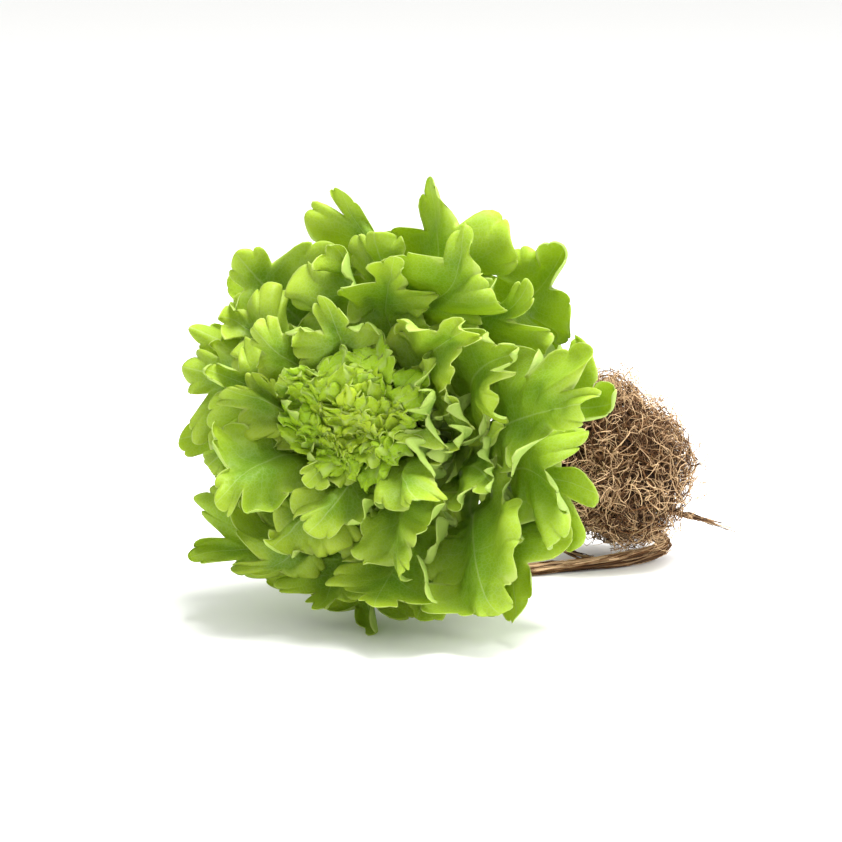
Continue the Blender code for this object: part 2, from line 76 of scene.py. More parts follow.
# Where the head's outline swells or draws in: place round the axis and half width, in degrees, and share of
# the radius
bulges = (
    (27, 20, 0.15), (60, 18, 0.06), (96, 11, -0.11), (133, 20, 0.14), (186, 20, 0.09), (-150, 14, -0.06),
    (-88, 20, -0.03), (-50, 18, 0.13), (-10, 14, -0.10),
)

# The soft waves that bend the whole head out of its even round: wavelength, reach and how many
warps = (
    {"pitch": 0.075, "reach": 0.0110, "count": 8, "within": None},
    {"pitch": 0.022, "reach": 0.0036, "count": 10, "within": 0.055},
)

# Where each bend of the head begins and where it has its full strength
bends = {
    "squashHeights": (0.045, 0.105),
    "swellRadii": (0.03, 0.11),
    "heights": (0.020, 0.080),
    "distances": (0.012, 0.035),
    "stillHeight": 0.05,
    "innerFade": (0.6, 1.3),
    "innerHeights": (0.070, 0.110),
}

# The stem that the leaves stand on
stem = {
    "radius": 0.0135,
    "topRadius": 0.0050,
    "length": 0.050,
    "leafGap": 0.0014,
    "firstLeafHeight": 0.004,
    "lastLeafHeight": 0.045,
}


def mix(a, b, t):
    return a + (b - a) * t


def smooth(low, high, x):
    t = np.clip((x - low) / (high - low), 0.0, 1.0)
    return t * t * (3 - 2 * t)


def sharedWaves(places, draw, pitch, reach, count):
    # how far soft waves in random directions, the same for everything near, push each place
    moved = np.zeros_like(places)
    for number in range(count):
        way = draw.normal(size=3)
        way *= math.tau / (np.linalg.norm(way) * pitch * draw.uniform(0.8, 1.25))
        push = draw.normal(size=3)
        push *= reach / (np.linalg.norm(push) * math.sqrt(count))
        start = draw.uniform(0, math.tau)
        moved += np.sin(places @ way + start)[:, None] * push
    return moved


def warped(places):
    # places of the standing head, squeezed towards the heart and bent by waves that all its leaves share
    radius = np.hypot(places[:, 0], places[:, 1])
    height = places[:, 2]
    squeezed = places.copy()
    squash = dome["squash"] * np.exp(-((radius / dome["squashRadius"]) ** 2))
    squeezed[:, 1] *= 1 - squash * smooth(*bends["squashHeights"], height)
    draw = np.random.default_rng(seed)
    moved = squeezed.copy()
    around = np.degrees(np.arctan2(squeezed[:, 1], squeezed[:, 0]))
    for middle, halfWidth, share in bulges:
        off = (around - middle + 180) % 360 - 180
        swell = share * np.exp(-((off / halfWidth) ** 2)) * smooth(*bends["swellRadii"], radius)
        swell = swell * smooth(*bends["heights"], height)
        moved[:, :2] += squeezed[:, :2] * swell[:, None]
    for warp in warps:
        fromMiddle = np.hypot(radius, height - bends["stillHeight"])
        weight = smooth(*bends["heights"], height) * smooth(*bends["distances"], fromMiddle)
        if warp["within"]:
            nearest, farthest = (share * warp["within"] for share in bends["innerFade"])
            weight = weight * (1 - smooth(nearest, farthest, radius)) * smooth(*bends["innerHeights"], height)
        moved += weight[:, None] * sharedWaves(squeezed, draw, warp["pitch"], warp["reach"], warp["count"])
    return moved


def laidDown(places):
    # places of the standing head, moved to where the plant lies
    turn = math.pi / 2 - laid["tilt"]
    cosine, sine = math.cos(turn), math.sin(turn)
    x, y, z = places.T
    down = np.stack((x, y * cosine - z * sine, y * sine + z * cosine), axis=1)
    return down + np.array((0, 0, laid["axisHeight"])) + np.array(laid["shift"])


def readPlaces(mesh):
    flat = np.empty(len(mesh.vertices) * 3, np.float32)
    mesh.vertices.foreach_get("co", flat)
    return flat.reshape(-1, 3)


def gridMesh(name, columns, rows, copies=1):
    # a flat grid repeated in one mesh, with the column, row and copy that each vertex belongs to
    sheet = bmesh.new()
    bmesh.ops.create_grid(sheet, x_segments=columns - 1, y_segments=rows - 1, size=1.0)
    mesh = bpy.data.meshes.new(name)
    sheet.to_mesh(mesh)
    for copy in range(copies - 1):
        sheet.from_mesh(mesh)
    single = len(mesh.vertices)
    sheet.to_mesh(mesh)
    sheet.free()
    flat = readPlaces(mesh)
    column = np.rint((flat[:, 0] + 1) / 2 * (columns - 1)).astype(int)
    row = np.rint((flat[:, 1] + 1) / 2 * (rows - 1)).astype(int)
    return mesh, column, row, np.arange(len(flat)) // single


def setPlaces(mesh, places):
    mesh.vertices.foreach_set("co", places.astype(np.float32).ravel())
    mesh.update()


def setAttribute(mesh, name, values):
    # a number, or a set of three, for each vertex
    kind = "FLOAT" if values.ndim == 1 else "FLOAT_VECTOR"
    attribute = mesh.attributes.new(name, kind, "POINT")
    attribute.data.foreach_set("value" if values.ndim == 1 else "vector", values.astype(np.float32).ravel())


def getAttribute(mesh, name):
    values = np.empty(len(mesh.vertices), np.float32)
    mesh.attributes[name].data.foreach_get("value", values)
    return values


def sewn(mesh):
    # welds the vertices that lie on each other
    sheet = bmesh.new()
    sheet.from_mesh(mesh)
    bmesh.ops.remove_doubles(sheet, verts=sheet.verts, dist=0.00001)
    sheet.to_mesh(mesh)
    sheet.free()


def addPiece(mesh, materials, replaced=()):
    # a finished piece: smooth, riding on the plant, with its materials
    piece = bpy.data.objects.new(mesh.name, mesh)
    bpy.context.scene.collection.objects.link(piece)
    for material in materials:
        mesh.materials.append(material)
    mesh.shade_smooth()
    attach(piece, "root")
    if replaced:
        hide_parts(*replaced)
    return piece


def linear(hexColour):
    # an sRGB hex colour as linear RGBA
    colour = []
    for k in (1, 3, 5):
        part = int(hexColour[k : k + 2], 16) / 255
        colour.append(part / 12.92 if part <= 0.04045 else ((part + 0.055) / 1.055) ** 2.4)
    return (*colour, 1.0)


def newMaterial(name):
    material = bpy.data.materials.new(name)
    material.use_nodes = True
    material.node_tree.nodes.clear()
    return material


def addNode(material, kind, settings, inputs):
    # a node with its settings; each input is given a fixed value or the output that feeds it
    node = material.node_tree.nodes.new(kind)
    for name, value in settings.items():
        setattr(node, name, value)
    for name, value in inputs.items():
        if isinstance(value, bpy.types.NodeSocket):
            material.node_tree.links.new(value, node.inputs[name])
        else:
            node.inputs[name].default_value = value
    return node


# Living leaf: a thin waxy skin over wet tissue. It shines softly and lets light through, and its veins and
# edges are paler. Near the midrib the blade is painted darker, fading out towards the margin: painted shade
# for the hollows of the cupped lobes. Widths and scales are in millimetres.
leafLook = {
    "upper": {"outer": "#B0CC34", "inner": "#B9CE3A", "rough": (0.42, 0.56)},
    "under": {"outer": "#B4CE68", "inner": "#BAD262", "rough": (0.50, 0.64)},
    "heart": {"outer": "#A9D012", "inner": "#CDE430", "rough": (0.50, 0.64)},
    # the darker green of the mottled patches, and of the painted shade near the midrib
    "shade": "#528A04",
    "vein": "#C4D68C",
    "edge": "#CDDB82",
    "stalk": "#D9E5AC",
    "glow": "#CCD81E",
    "through": 0.42,
    "glowShare": 0.55,
    "toneShare": 0.35,
    "patches": 0.30,
    # how much painted shade darkens the blade near the midrib
    "hollow": 0.56,
    "veins": 0.42,
    "net": 0.16,
    "edges": 0.55,
    "edgeWidth": (0.10, 0.75),
    "ribWidth": (3.4, 0.5),
    "sideVeins": 9.0,
    "mottleSize": 22.0,
    "cellSize": 2.4,
    "bump": 0.20,
    "specular": 0.40,
    "ior": 1.42,
}


def leafMaterial(name, side):
    look = leafLook[side]
    made = newMaterial(name)
    node = partial(addNode, made)
    soft = {"interpolation_type": "SMOOTHSTEP"}
    place = node("ShaderNodeAttribute", {"attribute_name": "leafPlace"}, {}).outputs["Vector"]
    size = node("ShaderNodeAttribute", {"attribute_name": "leafSize"}, {}).outputs["Vector"]
    tone = node("ShaderNodeAttribute", {"attribute_name": "leafTone"}, {}).outputs["Fac"]
    lobe, across, along = node("ShaderNodeSeparateXYZ", {}, {0: place}).outputs
    fromEdge, fromMidrib, youth = node("ShaderNodeSeparateXYZ", {}, {0: size}).outputs
    objectPlace = node("ShaderNodeTexCoord", {}, {}).outputs["Object"]

    # mottling over the blade, and the fine net between the veins
    scale = 1000 / leafLook["mottleSize"]
    noise = {"Vector": objectPlace, "Scale": scale, "Detail": 3.0}
    mottle = node("ShaderNodeTexNoise", {}, noise).outputs["Fac"]
    scale = 1000 / leafLook["cellSize"]
    cells = {"Vector": objectPlace, "Scale": scale, "Randomness": 1.0}
    net = node("ShaderNodeTexVoronoi", {"feature": "DISTANCE_TO_EDGE"}, cells).outputs["Distance"]
    netLine = node("ShaderNodeMapRange", soft, {0: net, 1: 0.02, 2: 0.16, 3: 1.0, 4: 0.0}).outputs[0]

    # a vein runs out along the middle of each lobe, and finer ones branch from it
    shifted = node("ShaderNodeMath", {"operation": "ADD"}, {0: lobe, 1: 0.5}).outputs[0]
    whole = node("ShaderNodeMath", {"operation": "FRACT"}, {0: shifted}).outputs[0]
    signed = node("ShaderNodeMath", {"operation": "SUBTRACT"}, {0: whole, 1: 0.5}).outputs[0]
    aside = node("ShaderNodeMath", {"operation": "ABSOLUTE"}, {0: signed}).outputs[0]
    lobeWidth = node("ShaderNodeMapRange", {}, {0: across, 1: 0.0, 2: 0.70, 3: 0.034, 4: 0.002}).outputs[0]
    lobeVein = node("ShaderNodeMapRange", soft, {0: aside, 1: 0.0, 2: lobeWidth, 3: 0.5, 4: 0.0}).outputs[0]
    sideVeins = leafLook["sideVeins"]
    outward = node("ShaderNodeMath", {"operation": "MULTIPLY"}, {0: across, 1: sideVeins}).outputs[0]
    bent = node("ShaderNodeMath", {"operation": "MULTIPLY_ADD"}, {0: aside, 1: -11.0, 2: outward}).outputs[0]
    wavy = node("ShaderNodeMath", {"operation": "MULTIPLY_ADD"}, {0: mottle, 1: 1.6, 2: bent}).outputs[0]
    sideWhole = node("ShaderNodeMath", {"operation": "FRACT"}, {0: wavy}).outputs[0]
    sideSigned = node("ShaderNodeMath", {"operation": "SUBTRACT"}, {0: sideWhole, 1: 0.5}).outputs[0]
    pillow = node("ShaderNodeMath", {"operation": "ABSOLUTE"}, {0: sideSigned}).outputs[0]
    sideVein = node("ShaderNodeMapRange", soft, {0: pillow, 1: 0.0, 2: 0.07, 3: 0.22, 4: 0.0}).outputs[0]
    wide, narrow = leafLook["ribWidth"]
    ribWidth = node("ShaderNodeMapRange", {}, {0: along, 1: 0.0, 2: 0.95, 3: wide, 4: narrow}).outputs[0]
    midrib = node("ShaderNodeMapRange", soft, {0: fromMidrib, 1: 0.0, 2: ribWidth, 3: 1.0, 4: 0.0}).outputs[0]
    anyVein = node("ShaderNodeMath", {"operation": "MAXIMUM"}, {0: lobeVein, 1: sideVein}).outputs[0]
    clamped = {"operation": "MAXIMUM", "use_clamp": True}
    strongVein = node("ShaderNodeMath", clamped, {0: anyVein, 1: midrib}).outputs[0]

    # how much of each tint shows, with painted shade darkening the blade near the midrib, and the blade's
    # colour from the leaf's own age and tone
    patches = {0: mottle, 1: 0.35, 2: 0.70, 3: 0.0, 4: leafLook["patches"]}
    patchMask = node("ShaderNodeMapRange", {}, patches).outputs[0]
    # painted shade: full out to a quarter of the way across, gone near the margin
    hollow = {0: across, 1: 0.25, 2: 0.88, 3: leafLook["hollow"], 4: 0.0}
    paintedHollowShadeMask = node("ShaderNodeMapRange", {}, hollow).outputs[0]
    # the real mottled patches and the painted shade, added together
    mottleAndPaintedShadeMask = node("ShaderNodeMath", {"operation": "ADD"}, {0: patchMask, 1: paintedHollowShadeMask}).outputs[0]
    netShare, veinShare = leafLook["net"], leafLook["veins"]
    netMask = node("ShaderNodeMath", {"operation": "MULTIPLY"}, {0: netLine, 1: netShare}).outputs[0]
    veinMask = node("ShaderNodeMath", {"operation": "MULTIPLY"}, {0: strongVein, 1: veinShare}).outputs[0]
    near, far = leafLook["edgeWidth"]
    edge = {0: fromEdge, 1: near, 2: far, 3: leafLook["edges"], 4: 0.0}
    edgeMask = node("ShaderNodeMapRange", soft, edge).outputs[0]
    stalkMask = node("ShaderNodeMapRange", soft, {0: along, 1: 0.06, 2: 0.46, 3: 0.95, 4: 0.0}).outputs[0]
    clamped = {"operation": "MULTIPLY_ADD", "use_clamp": True}
    age = node("ShaderNodeMath", clamped, {0: tone, 1: leafLook["toneShare"], 2: youth}).outputs[0]
    blade = {0: age, 6: linear(look["outer"]), 7: linear(look["inner"])}
    colour = node("ShaderNodeMix", {"data_type": "RGBA"}, blade).outputs[2]
    masks = (mottleAndPaintedShadeMask, netMask, veinMask, edgeMask, stalkMask)
    for tint, mask in zip(("shade", "vein", "vein", "edge", "stalk"), masks):
        tinted = {0: mask, 6: colour, 7: linear(leafLook[tint])}
        colour = node("ShaderNodeMix", {"data_type": "RGBA"}, tinted).outputs[2]

    # softly blistered, with the net and the side veins sunk in
    ridged = node("ShaderNodeMath", {"operation": "MULTIPLY"}, {0: pillow, 1: 0.35}).outputs[0]
    added = {"operation": "MULTIPLY_ADD"}
    relief = node("ShaderNodeMath", added, {0: netLine, 1: -0.25, 2: ridged}).outputs[0]
    raised = node("ShaderNodeMath", added, {0: mottle, 1: 1.3, 2: relief}).outputs[0]
    height = {"Strength": leafLook["bump"], "Distance": 0.0010, "Height": raised}
    bump = node("ShaderNodeBump", {}, height).outputs[0]
    low, high = look["rough"]
    rough = node("ShaderNodeMapRange", {}, {0: mottle, 1: 0.3, 2: 0.7, 3: low, 4: high}).outputs[0]
    skin = node("ShaderNodeBsdfPrincipled", {}, {
        "Base Color": colour, "Roughness": rough, "Normal": bump,
        "IOR": leafLook["ior"], "Specular IOR Level": leafLook["specular"],
    })
    glow = {0: leafLook["glowShare"], 6: colour, 7: linear(leafLook["glow"])}
    glowColour = node("ShaderNodeMix", {"data_type": "RGBA"}, glow).outputs[2]
    through = node("ShaderNodeBsdfTranslucent", {}, {"Color": glowColour, "Normal": bump}).outputs[0]
    both = node("ShaderNodeMixShader", {}, {0: leafLook["through"], 1: skin.outputs[0], 2: through})
    node("ShaderNodeOutputMaterial", {}, {"Surface": both.outputs[0]})
    return made


# Dry root: a rough, dull fibre. The soil mat in the middle of the ball stays damp and dark.
rootLook = {
    "fibre": {"dark": "#1A0D04", "mid": "#6C4825", "light": "#D8B68C"},
    "soil": {"dark": "#1C1108", "mid": "#3A2616", "light": "#5C4128"},
    "rough": (0.66, 0.86),
    "soilSize": 6.0,
    "grainSize": 0.7143,
    "specular": 0.28,
}


def rootMaterial(name, kind):
    look = rootLook[kind]
    made = newMaterial(name)
    node = partial(addNode, made)
    place = node("ShaderNodeTexCoord", {}, {}).outputs["Object"]
    tone = node("ShaderNodeAttribute", {"attribute_name": "fibreTone"}, {}).outputs["Fac"]
    scale = 1000 / rootLook["soilSize"]
    soil = node("ShaderNodeTexNoise", {}, {"Vector": place, "Scale": scale, "Detail": 4.0}).outputs["Fac"]
    spread = node("ShaderNodeMath", {"operation": "MULTIPLY_ADD"}, {0: soil, 1: 0.45, 2: tone}).outputs[0]
    clamped = {"operation": "SUBTRACT", "use_clamp": True}
    shade = node("ShaderNodeMath", clamped, {0: spread, 1: 0.22}).outputs[0]
    ramp = node("ShaderNodeValToRGB", {}, {0: shade})
    ramp.color_ramp.elements[0].color = linear(look["dark"])
    ramp.color_ramp.elements[1].color = linear(look["light"])
    ramp.color_ramp.elements.new(0.5).color = linear(look["mid"])
    scale = 1000 / rootLook["grainSize"]
    grain = node("ShaderNodeTexNoise", {}, {"Vector": place, "Scale": scale, "Detail": 2.0}).outputs["Fac"]
    bump = node("ShaderNodeBump", {}, {"Strength": 0.5, "Distance": 0.0003, "Height": grain}).outputs[0]
    low, high = rootLook["rough"]
    rough = node("ShaderNodeMapRange", {}, {0: soil, 1: 0.3, 2: 0.7, 3: low, 4: high}).outputs[0]
    skin = node("ShaderNodeBsdfPrincipled", {}, {
        "Base Color": ramp.outputs["Color"], "Roughness": rough, "Normal": bump,
        "Specular IOR Level": rootLook["specular"],
    })
    node("ShaderNodeOutputMaterial", {}, {"Surface": skin.outputs[0]})
    return made


# Cut stem flesh: firm, wet and pale, with the brownish scars of the leaves.
stemLook = {
    "pale": "#D5DFA9",
    "green": "#A9C26A",
    "scar": "#9C8A5A",
    "scars": 0.6,
    "rough": (0.42, 0.60),
    "streakSize": 6.25,
    "spotSize": 2.381,
    "specular": 0.4,
}


def stemMaterial():
    made = newMaterial("pale stem flesh")
    node = partial(addNode, made)
    place = node("ShaderNodeTexCoord", {}, {}).outputs["Object"]
    scale = 1000 / stemLook["streakSize"]
    streak = node("ShaderNodeTexNoise", {}, {"Vector": place, "Scale": scale, "Detail": 4.0}).outputs["Fac"]
    scale = 1000 / stemLook["spotSize"]
    spot = node("ShaderNodeTexNoise", {}, {"Vector": place, "Scale": scale, "Detail": 2.0}).outputs["Fac"]
    flesh = {0: streak, 6: linear(stemLook["pale"]), 7: linear(stemLook["green"])}
    green = node("ShaderNodeMix", {"data_type": "RGBA"}, flesh).outputs[2]
    scars = {0: spot, 1: 0.58, 2: 0.72, 3: 0.0, 4: stemLook["scars"]}
    scarMask = node("ShaderNodeMapRange", {}, scars).outputs[0]
    scarred = {0: scarMask, 6: green, 7: linear(stemLook["scar"])}
    colour = node("ShaderNodeMix", {"data_type": "RGBA"}, scarred).outputs[2]
    bump = node("ShaderNodeBump", {}, {"Strength": 0.5, "Distance": 0.0006, "Height": spot}).outputs[0]
    low, high = stemLook["rough"]
    rough = node("ShaderNodeMapRange", {}, {0: spot, 1: 0.3, 2: 0.7, 3: low, 4: high}).outputs[0]
    skin = node("ShaderNodeBsdfPrincipled", {}, {
        "Base Color": colour, "Roughness": rough, "Normal": bump, "Specular IOR Level": stemLook["specular"],
    })
    node("ShaderNodeOutputMaterial", {}, {"Surface": skin.outputs[0]})
    return made


def makeLayer(depth):
    # the line from the stem to the tip of a leaf at this depth: 0 is outermost, 1 is on the axis
    turn = depth * math.pi / 2
    tipRadius = dome["radius"] * math.cos(turn) ** dome["roundness"]
    dip = dome["heartDip"] * math.exp(-((tipRadius / dome["heartDipRadius"]) ** 2))
    rootHeight = mix(stem["firstLeafHeight"], stem["lastLeafHeight"], depth)
    rootRadius = mix(stem["radius"], stem["topRadius"], rootHeight / stem["length"]) + stem["leafGap"]
    root = np.array((rootRadius, rootHeight))
    tip = np.array((tipRadius, dome["rimHeight"] + dome["rise"] * math.sin(turn) - dip))
    rootAngle = math.radians(mix(*dome["rootAngles"], depth ** dome["rootQuickness"]))
    tipAngle = math.radians(mix(*dome["tipAngles"], depth ** dome["tipQuickness"]))
    reach = np.hypot(*(tip - root))
    leaving = root + dome["leavingReach"] * reach * np.array((math.sin(rootAngle), math.cos(rootAngle)))
    flare = np.array((math.sin(tipAngle), math.cos(tipAngle)))
    arriving = tip - dome["arrivingReach"] * reach * flare
    w = np.linspace(0, 1, dome["lineSamples"])[:, None]
    line = root * (1 - w) ** 3 + 3 * leaving * w * (1 - w) ** 2 + 3 * arriving * w**2 * (1 - w) + tip * w**3
    runs = np.concatenate(((0.0,), np.cumsum(np.hypot(*np.diff(line, axis=0).T))))
    return {"line": line, "runs": runs, "length": float(runs[-1]), "flare": flare}


def layerAt(layer, x):
    # radius and height at x along the layer's line, and the way from there towards the inner layers
    runs = layer["runs"]
    radii, heights = layer["line"].T
    beyond = np.maximum(x - layer["length"], 0.0)
    radius = np.interp(x, runs, radii) + layer["flare"][0] * beyond
    height = np.interp(x, runs, heights) + layer["flare"][1] * beyond
    after, before = x + dome["slopeStep"], x - dome["slopeStep"]
    outward = np.interp(after, runs, radii) - np.interp(before, runs, radii)
    upward = np.interp(after, runs, heights) - np.interp(before, runs, heights)
    outward = np.where(beyond > 0, layer["flare"][0], outward)
    upward = np.where(beyond > 0, layer["flare"][1], upward)
    size = np.hypot(outward, upward)
    return radius, height, -upward / size, outward / size


# The leaves, counted from the outermost inwards. Most pairs are for the outermost and the innermost leaf.
# Webs and lobes are shares of the leaf's length, and ribWidth is in millimetres, at the stalk and at the tip.
leaves = {
    "count": 44,
    "innermostDepth": 0.80,
    "azimuthSpread": 0.24,
    "innerSteady": 0.85,
    "lengthSpread": (0.92, 1.13),
    "swaySpread": 0.12,
    "broadSpread": (0.90, 1.06),
    "lean": 0.35,
    "lobes": 3.5,
    "topWeb": (0.850, 0.890),
    "lobePitch": (0.160, 0.105),
    "webWidths": (0.056, 0.125, 0.120),
    "lobeLengths": (0.165, 0.180, 0.190, 0.150),
    "innerWeb": 0.85,
    "innerLobe": 0.62,
    "petiole": (0.0085, 0.0050),
    "tipSwell": 0.45,
    "lobeSwell": 0.16,
    "blunt": 0.80,
    "scallops": (0.050, 0.290),
    "frillWave": (0.0012, 0.0034),
    "frillQuickness": 0.6,
    "leanPitch": 0.80,
    "footPitch": 0.82,
    "widestWrap": 0.80,
    "ruffle": (0.0080, 0.0050),
    "ruffleDrift": 0.12,
    "freeRuffleRadius": 0.050,
    "neighbourStep": 5,
    "outermostRoom": 0.016,
    "roll": 0.85,
    "sharpest": 2.2,
    "cup": 0.66,
    "twist": 0.50,
    "pucker": (0.0007, 0.0011),
    "puckerSize": (0.0030, 0.0022),
    "groundSoftness": 0.005,
    "groundStep": 0.0014,
    "lowestLeaf": 2,
    "bladeThickness": 0.00055,
    "ribThickness": 0.0030,
    "ribWidth": (3.2, 0.9),
    "marginThinning": 0.35,
    "stalkRows": 11,
    "marginSamples": 900,
}

# How much of the roll and cup of its lobes each solid leaf keeps, so that it clears the leaves beside it, and
# how far the finer leaves here go back towards the full roll
calmed = {
    1: 0.88, 2: 0.24, 3: 0.24, 5: 0.24, 6: 0.36, 7: 0.84, 8: 0.64, 10: 0.6, 11: 0.76, 13: 0.72,
    15: 0.28, 16: 0.52, 17: 0.32, 18: 0.32, 19: 0.36, 20: 0.32, 21: 0.8, 22: 0.36, 26: 0.68,
    27: 0.52, 30: 0.04, 31: 0.68, 32: 0.56, 33: 0.36, 34: 0.56, 35: 0.56, 36: 0.52, 37: 0.68,
    38: 0.8, 39: 0.52, 40: 0.38, 41: 0.48, 42: 0.6, 43: 0.38, 44: 0.48,
}
freedom = 0.80

# What is drawn for each lobe of a leaf: the least and the most of it
lobeSpreads = {"curls": (-1.0, 1.0), "cups": (-1.0, 0.6), "sizes": (0.80, 1.15), "twists": (-1.0, 1.0)}

# Where a leaf's mesh has its ribs, from a lobe's vein to its notch, and its columns, from midrib to margin
lobeSteps = (0.0, 0.04, 0.08, 0.12, 0.15, 1 / 6, 0.185, 0.22, 0.27, 0.333, 0.40, 0.45, 0.48)
halfColumns = (0.0, 0.020, 0.055, 0.12, 0.21, 0.32, 0.44, 0.56, 0.68, 0.79, 0.88, 0.95, 1.0)


def makeLeaf(index):
    # the settings of one leaf, drawn from its own seed
    draw = random.Random(seed * 1000 + index)
    leaf = {"index": index, "depth": leaves["innermostDepth"] * index / (leaves["count"] - 1)}
    leaf["age"] = leaf["depth"] / leaves["innermostDepth"]
    leaf["layer"] = makeLayer(leaf["depth"])
    leaf["room"] = {side: roomTo(leaf["layer"], index + side * leaves["neighbourStep"]) for side in (-1, 1)}
    off = draw.uniform(-leaves["azimuthSpread"], leaves["azimuthSpread"])
    leaf["azimuth"] = index * goldenAngle + off * (1 - leaves["innerSteady"] * leaf["age"])
    leaf["length"] = leaf["layer"]["length"] * draw.uniform(*leaves["lengthSpread"])
    leaf["lean"] = draw.uniform(-1.0, 1.0) * leaves["lean"]
    leaf["sway"] = draw.uniform(-leaves["swaySpread"], leaves["swaySpread"])
    leaf["broad"] = draw.uniform(*leaves["broadSpread"])
    leaf["roll"] = mix(calmed.get(index + 1, 1.0), 1.0, freedom)
    ends = range(math.ceil(leaves["lobes"]) + 1)
    for name, spread in lobeSpreads.items():
        values = {side: np.array([draw.uniform(*spread) for lobe in ends]) for side in (-1, 1)}
        values[1][0] = values[-1][0]
        leaf[name] = values
    leaf["tone"] = draw.uniform(-1.0, 1.0)
    return leaf


def roomTo(layer, index):
    # how far the samples of a layer are from the layer of another leaf
    if index < 0:
        return np.full(dome["lineSamples"], leaves["outermostRoom"])
    other = makeLayer(leaves["innermostDepth"] * index / (leaves["count"] - 1))["line"]
    return np.min(np.hypot(*(layer["line"][:, None] - other[None]).transpose(2, 0, 1)), axis=1)


def alongLobes(values, right, phase):
    # the value of a lobe's own setting, passing smoothly from one lobe to the next
    lobe = np.minimum(len(values[1]) - 2, phase.astype(int))
    phase = np.minimum(phase, len(values[1]) - 1)
    over = smooth(0.30, 0.70, phase - lobe)
    found = {side: mix(values[side][lobe], values[side][lobe + 1], over) for side in (-1, 1)}
    return np.where(right, found[1], found[-1])


def ruffle(leaf, phi, wayAlong, radius):
    # how far the shared waves lift this layer inwards there
    drift = leaves["ruffleDrift"] * leaf["index"]
    size = mix(*leaves["ruffle"], leaf["depth"]) * smooth(0.40, 1.0, wayAlong)
    size = size * np.minimum(1.0, radius / leaves["freeRuffleRadius"])
    broad = np.sin(9 * phi - drift + 3 * wayAlong)
    tight = np.sin(17 * phi + drift + 7 * wayAlong + 1.3)
    return size * (0.45 * broad + 0.55 * tight)


def flatPlace(leaf, phase, right, reach):
    # the place on the flat leaf of a rib at `reach` of its way out, and the rib's length
    # phase counts the lobes from the tip: ribs leave the midrib and bend into the lobe that they end in
    age, length, lobes = leaf["age"], leaf["length"], leaves["lobes"]
    top, pitch = mix(*leaves["topWeb"], age), mix(*leaves["lobePitch"], age)
    webs = np.array(leaves["webWidths"]) * mix(1.0, leaves["innerWeb"], age)
    webs = np.append(webs, mix(*leaves["petiole"], age) / length)
    lobe = np.clip(np.floor(phase + 0.5), 0, len(webs) - 1).astype(int)
    aside = np.clip(phase - lobe, -0.5, 0.5)
    first = lobe == 0
    after = np.stack((top - pitch * lobe, webs[lobe]))
    before = np.stack((top - pitch * (lobe - 1), webs[np.maximum(lobe - 1, 0)]))
    before = np.where(first, after * np.array(((1,), (-1,))), before)
    middle, half = (before + after) / 2, (after - before) / 2
    lean = math.pi / 2 * (1 - np.exp(-lobe / leaves["leanPitch"]))
    size = np.where(right, leaf["sizes"][1][lobe], leaf["sizes"][-1][lobe])
    out = np.array(leaves["lobeLengths"])[lobe] * mix(1.0, leaves["innerLobe"], age) * size
    out = out * np.clip(np.cos(math.pi * aside), 0, 1) ** leaves["blunt"]
    swell = np.where(first, leaves["tipSwell"], leaves["lobeSwell"])
    wide = np.sin(math.pi * aside) + swell * np.sin(2 * math.pi * aside)
    base = middle + half * 2 * aside
    notch = 1 - np.sqrt(np.abs(np.cos(3 * math.pi * aside)))
    kept = 1 - mix(*leaves["scallops"], age ** leaves["frillQuickness"]) * notch
    end = base + (middle + half * wide + np.stack((np.cos(lean), np.sin(lean))) * out - base) * kept
    stalk = np.clip(phase - lobes, 0, 1)
    foot = np.stack((top - pitch * leaves["footPitch"] * np.minimum(phase, lobes), np.zeros(len(phase))))
    scale = np.stack((1 - stalk, np.full(len(phase), leaf["broad"]))) * length
    foot, base, end = foot * scale, base * scale, end * scale
    place = (1 - reach) ** 2 * foot + 2 * reach * (1 - reach) * base + reach**2 * end
    return place, np.hypot(*(base - foot)) + np.hypot(*(end - base))


def fromMargin(leaf, phase, right, across):
    # how far each place is from the leaf's margin
    samples = leaves["marginSamples"]
    margin = np.linspace(0, leaves["lobes"] + 1, samples)
    far = np.empty(len(phase))
    for side in (False, True):
        line = flatPlace(leaf, margin, np.full(samples, side), np.ones(samples))[0]
        own = right == side
        place = flatPlace(leaf, phase[own], right[own], across[own])[0]
        far[own] = np.sqrt(np.min(np.sum((place[:, :, None] - line[:, None]) ** 2, axis=0), axis=1))
    return far


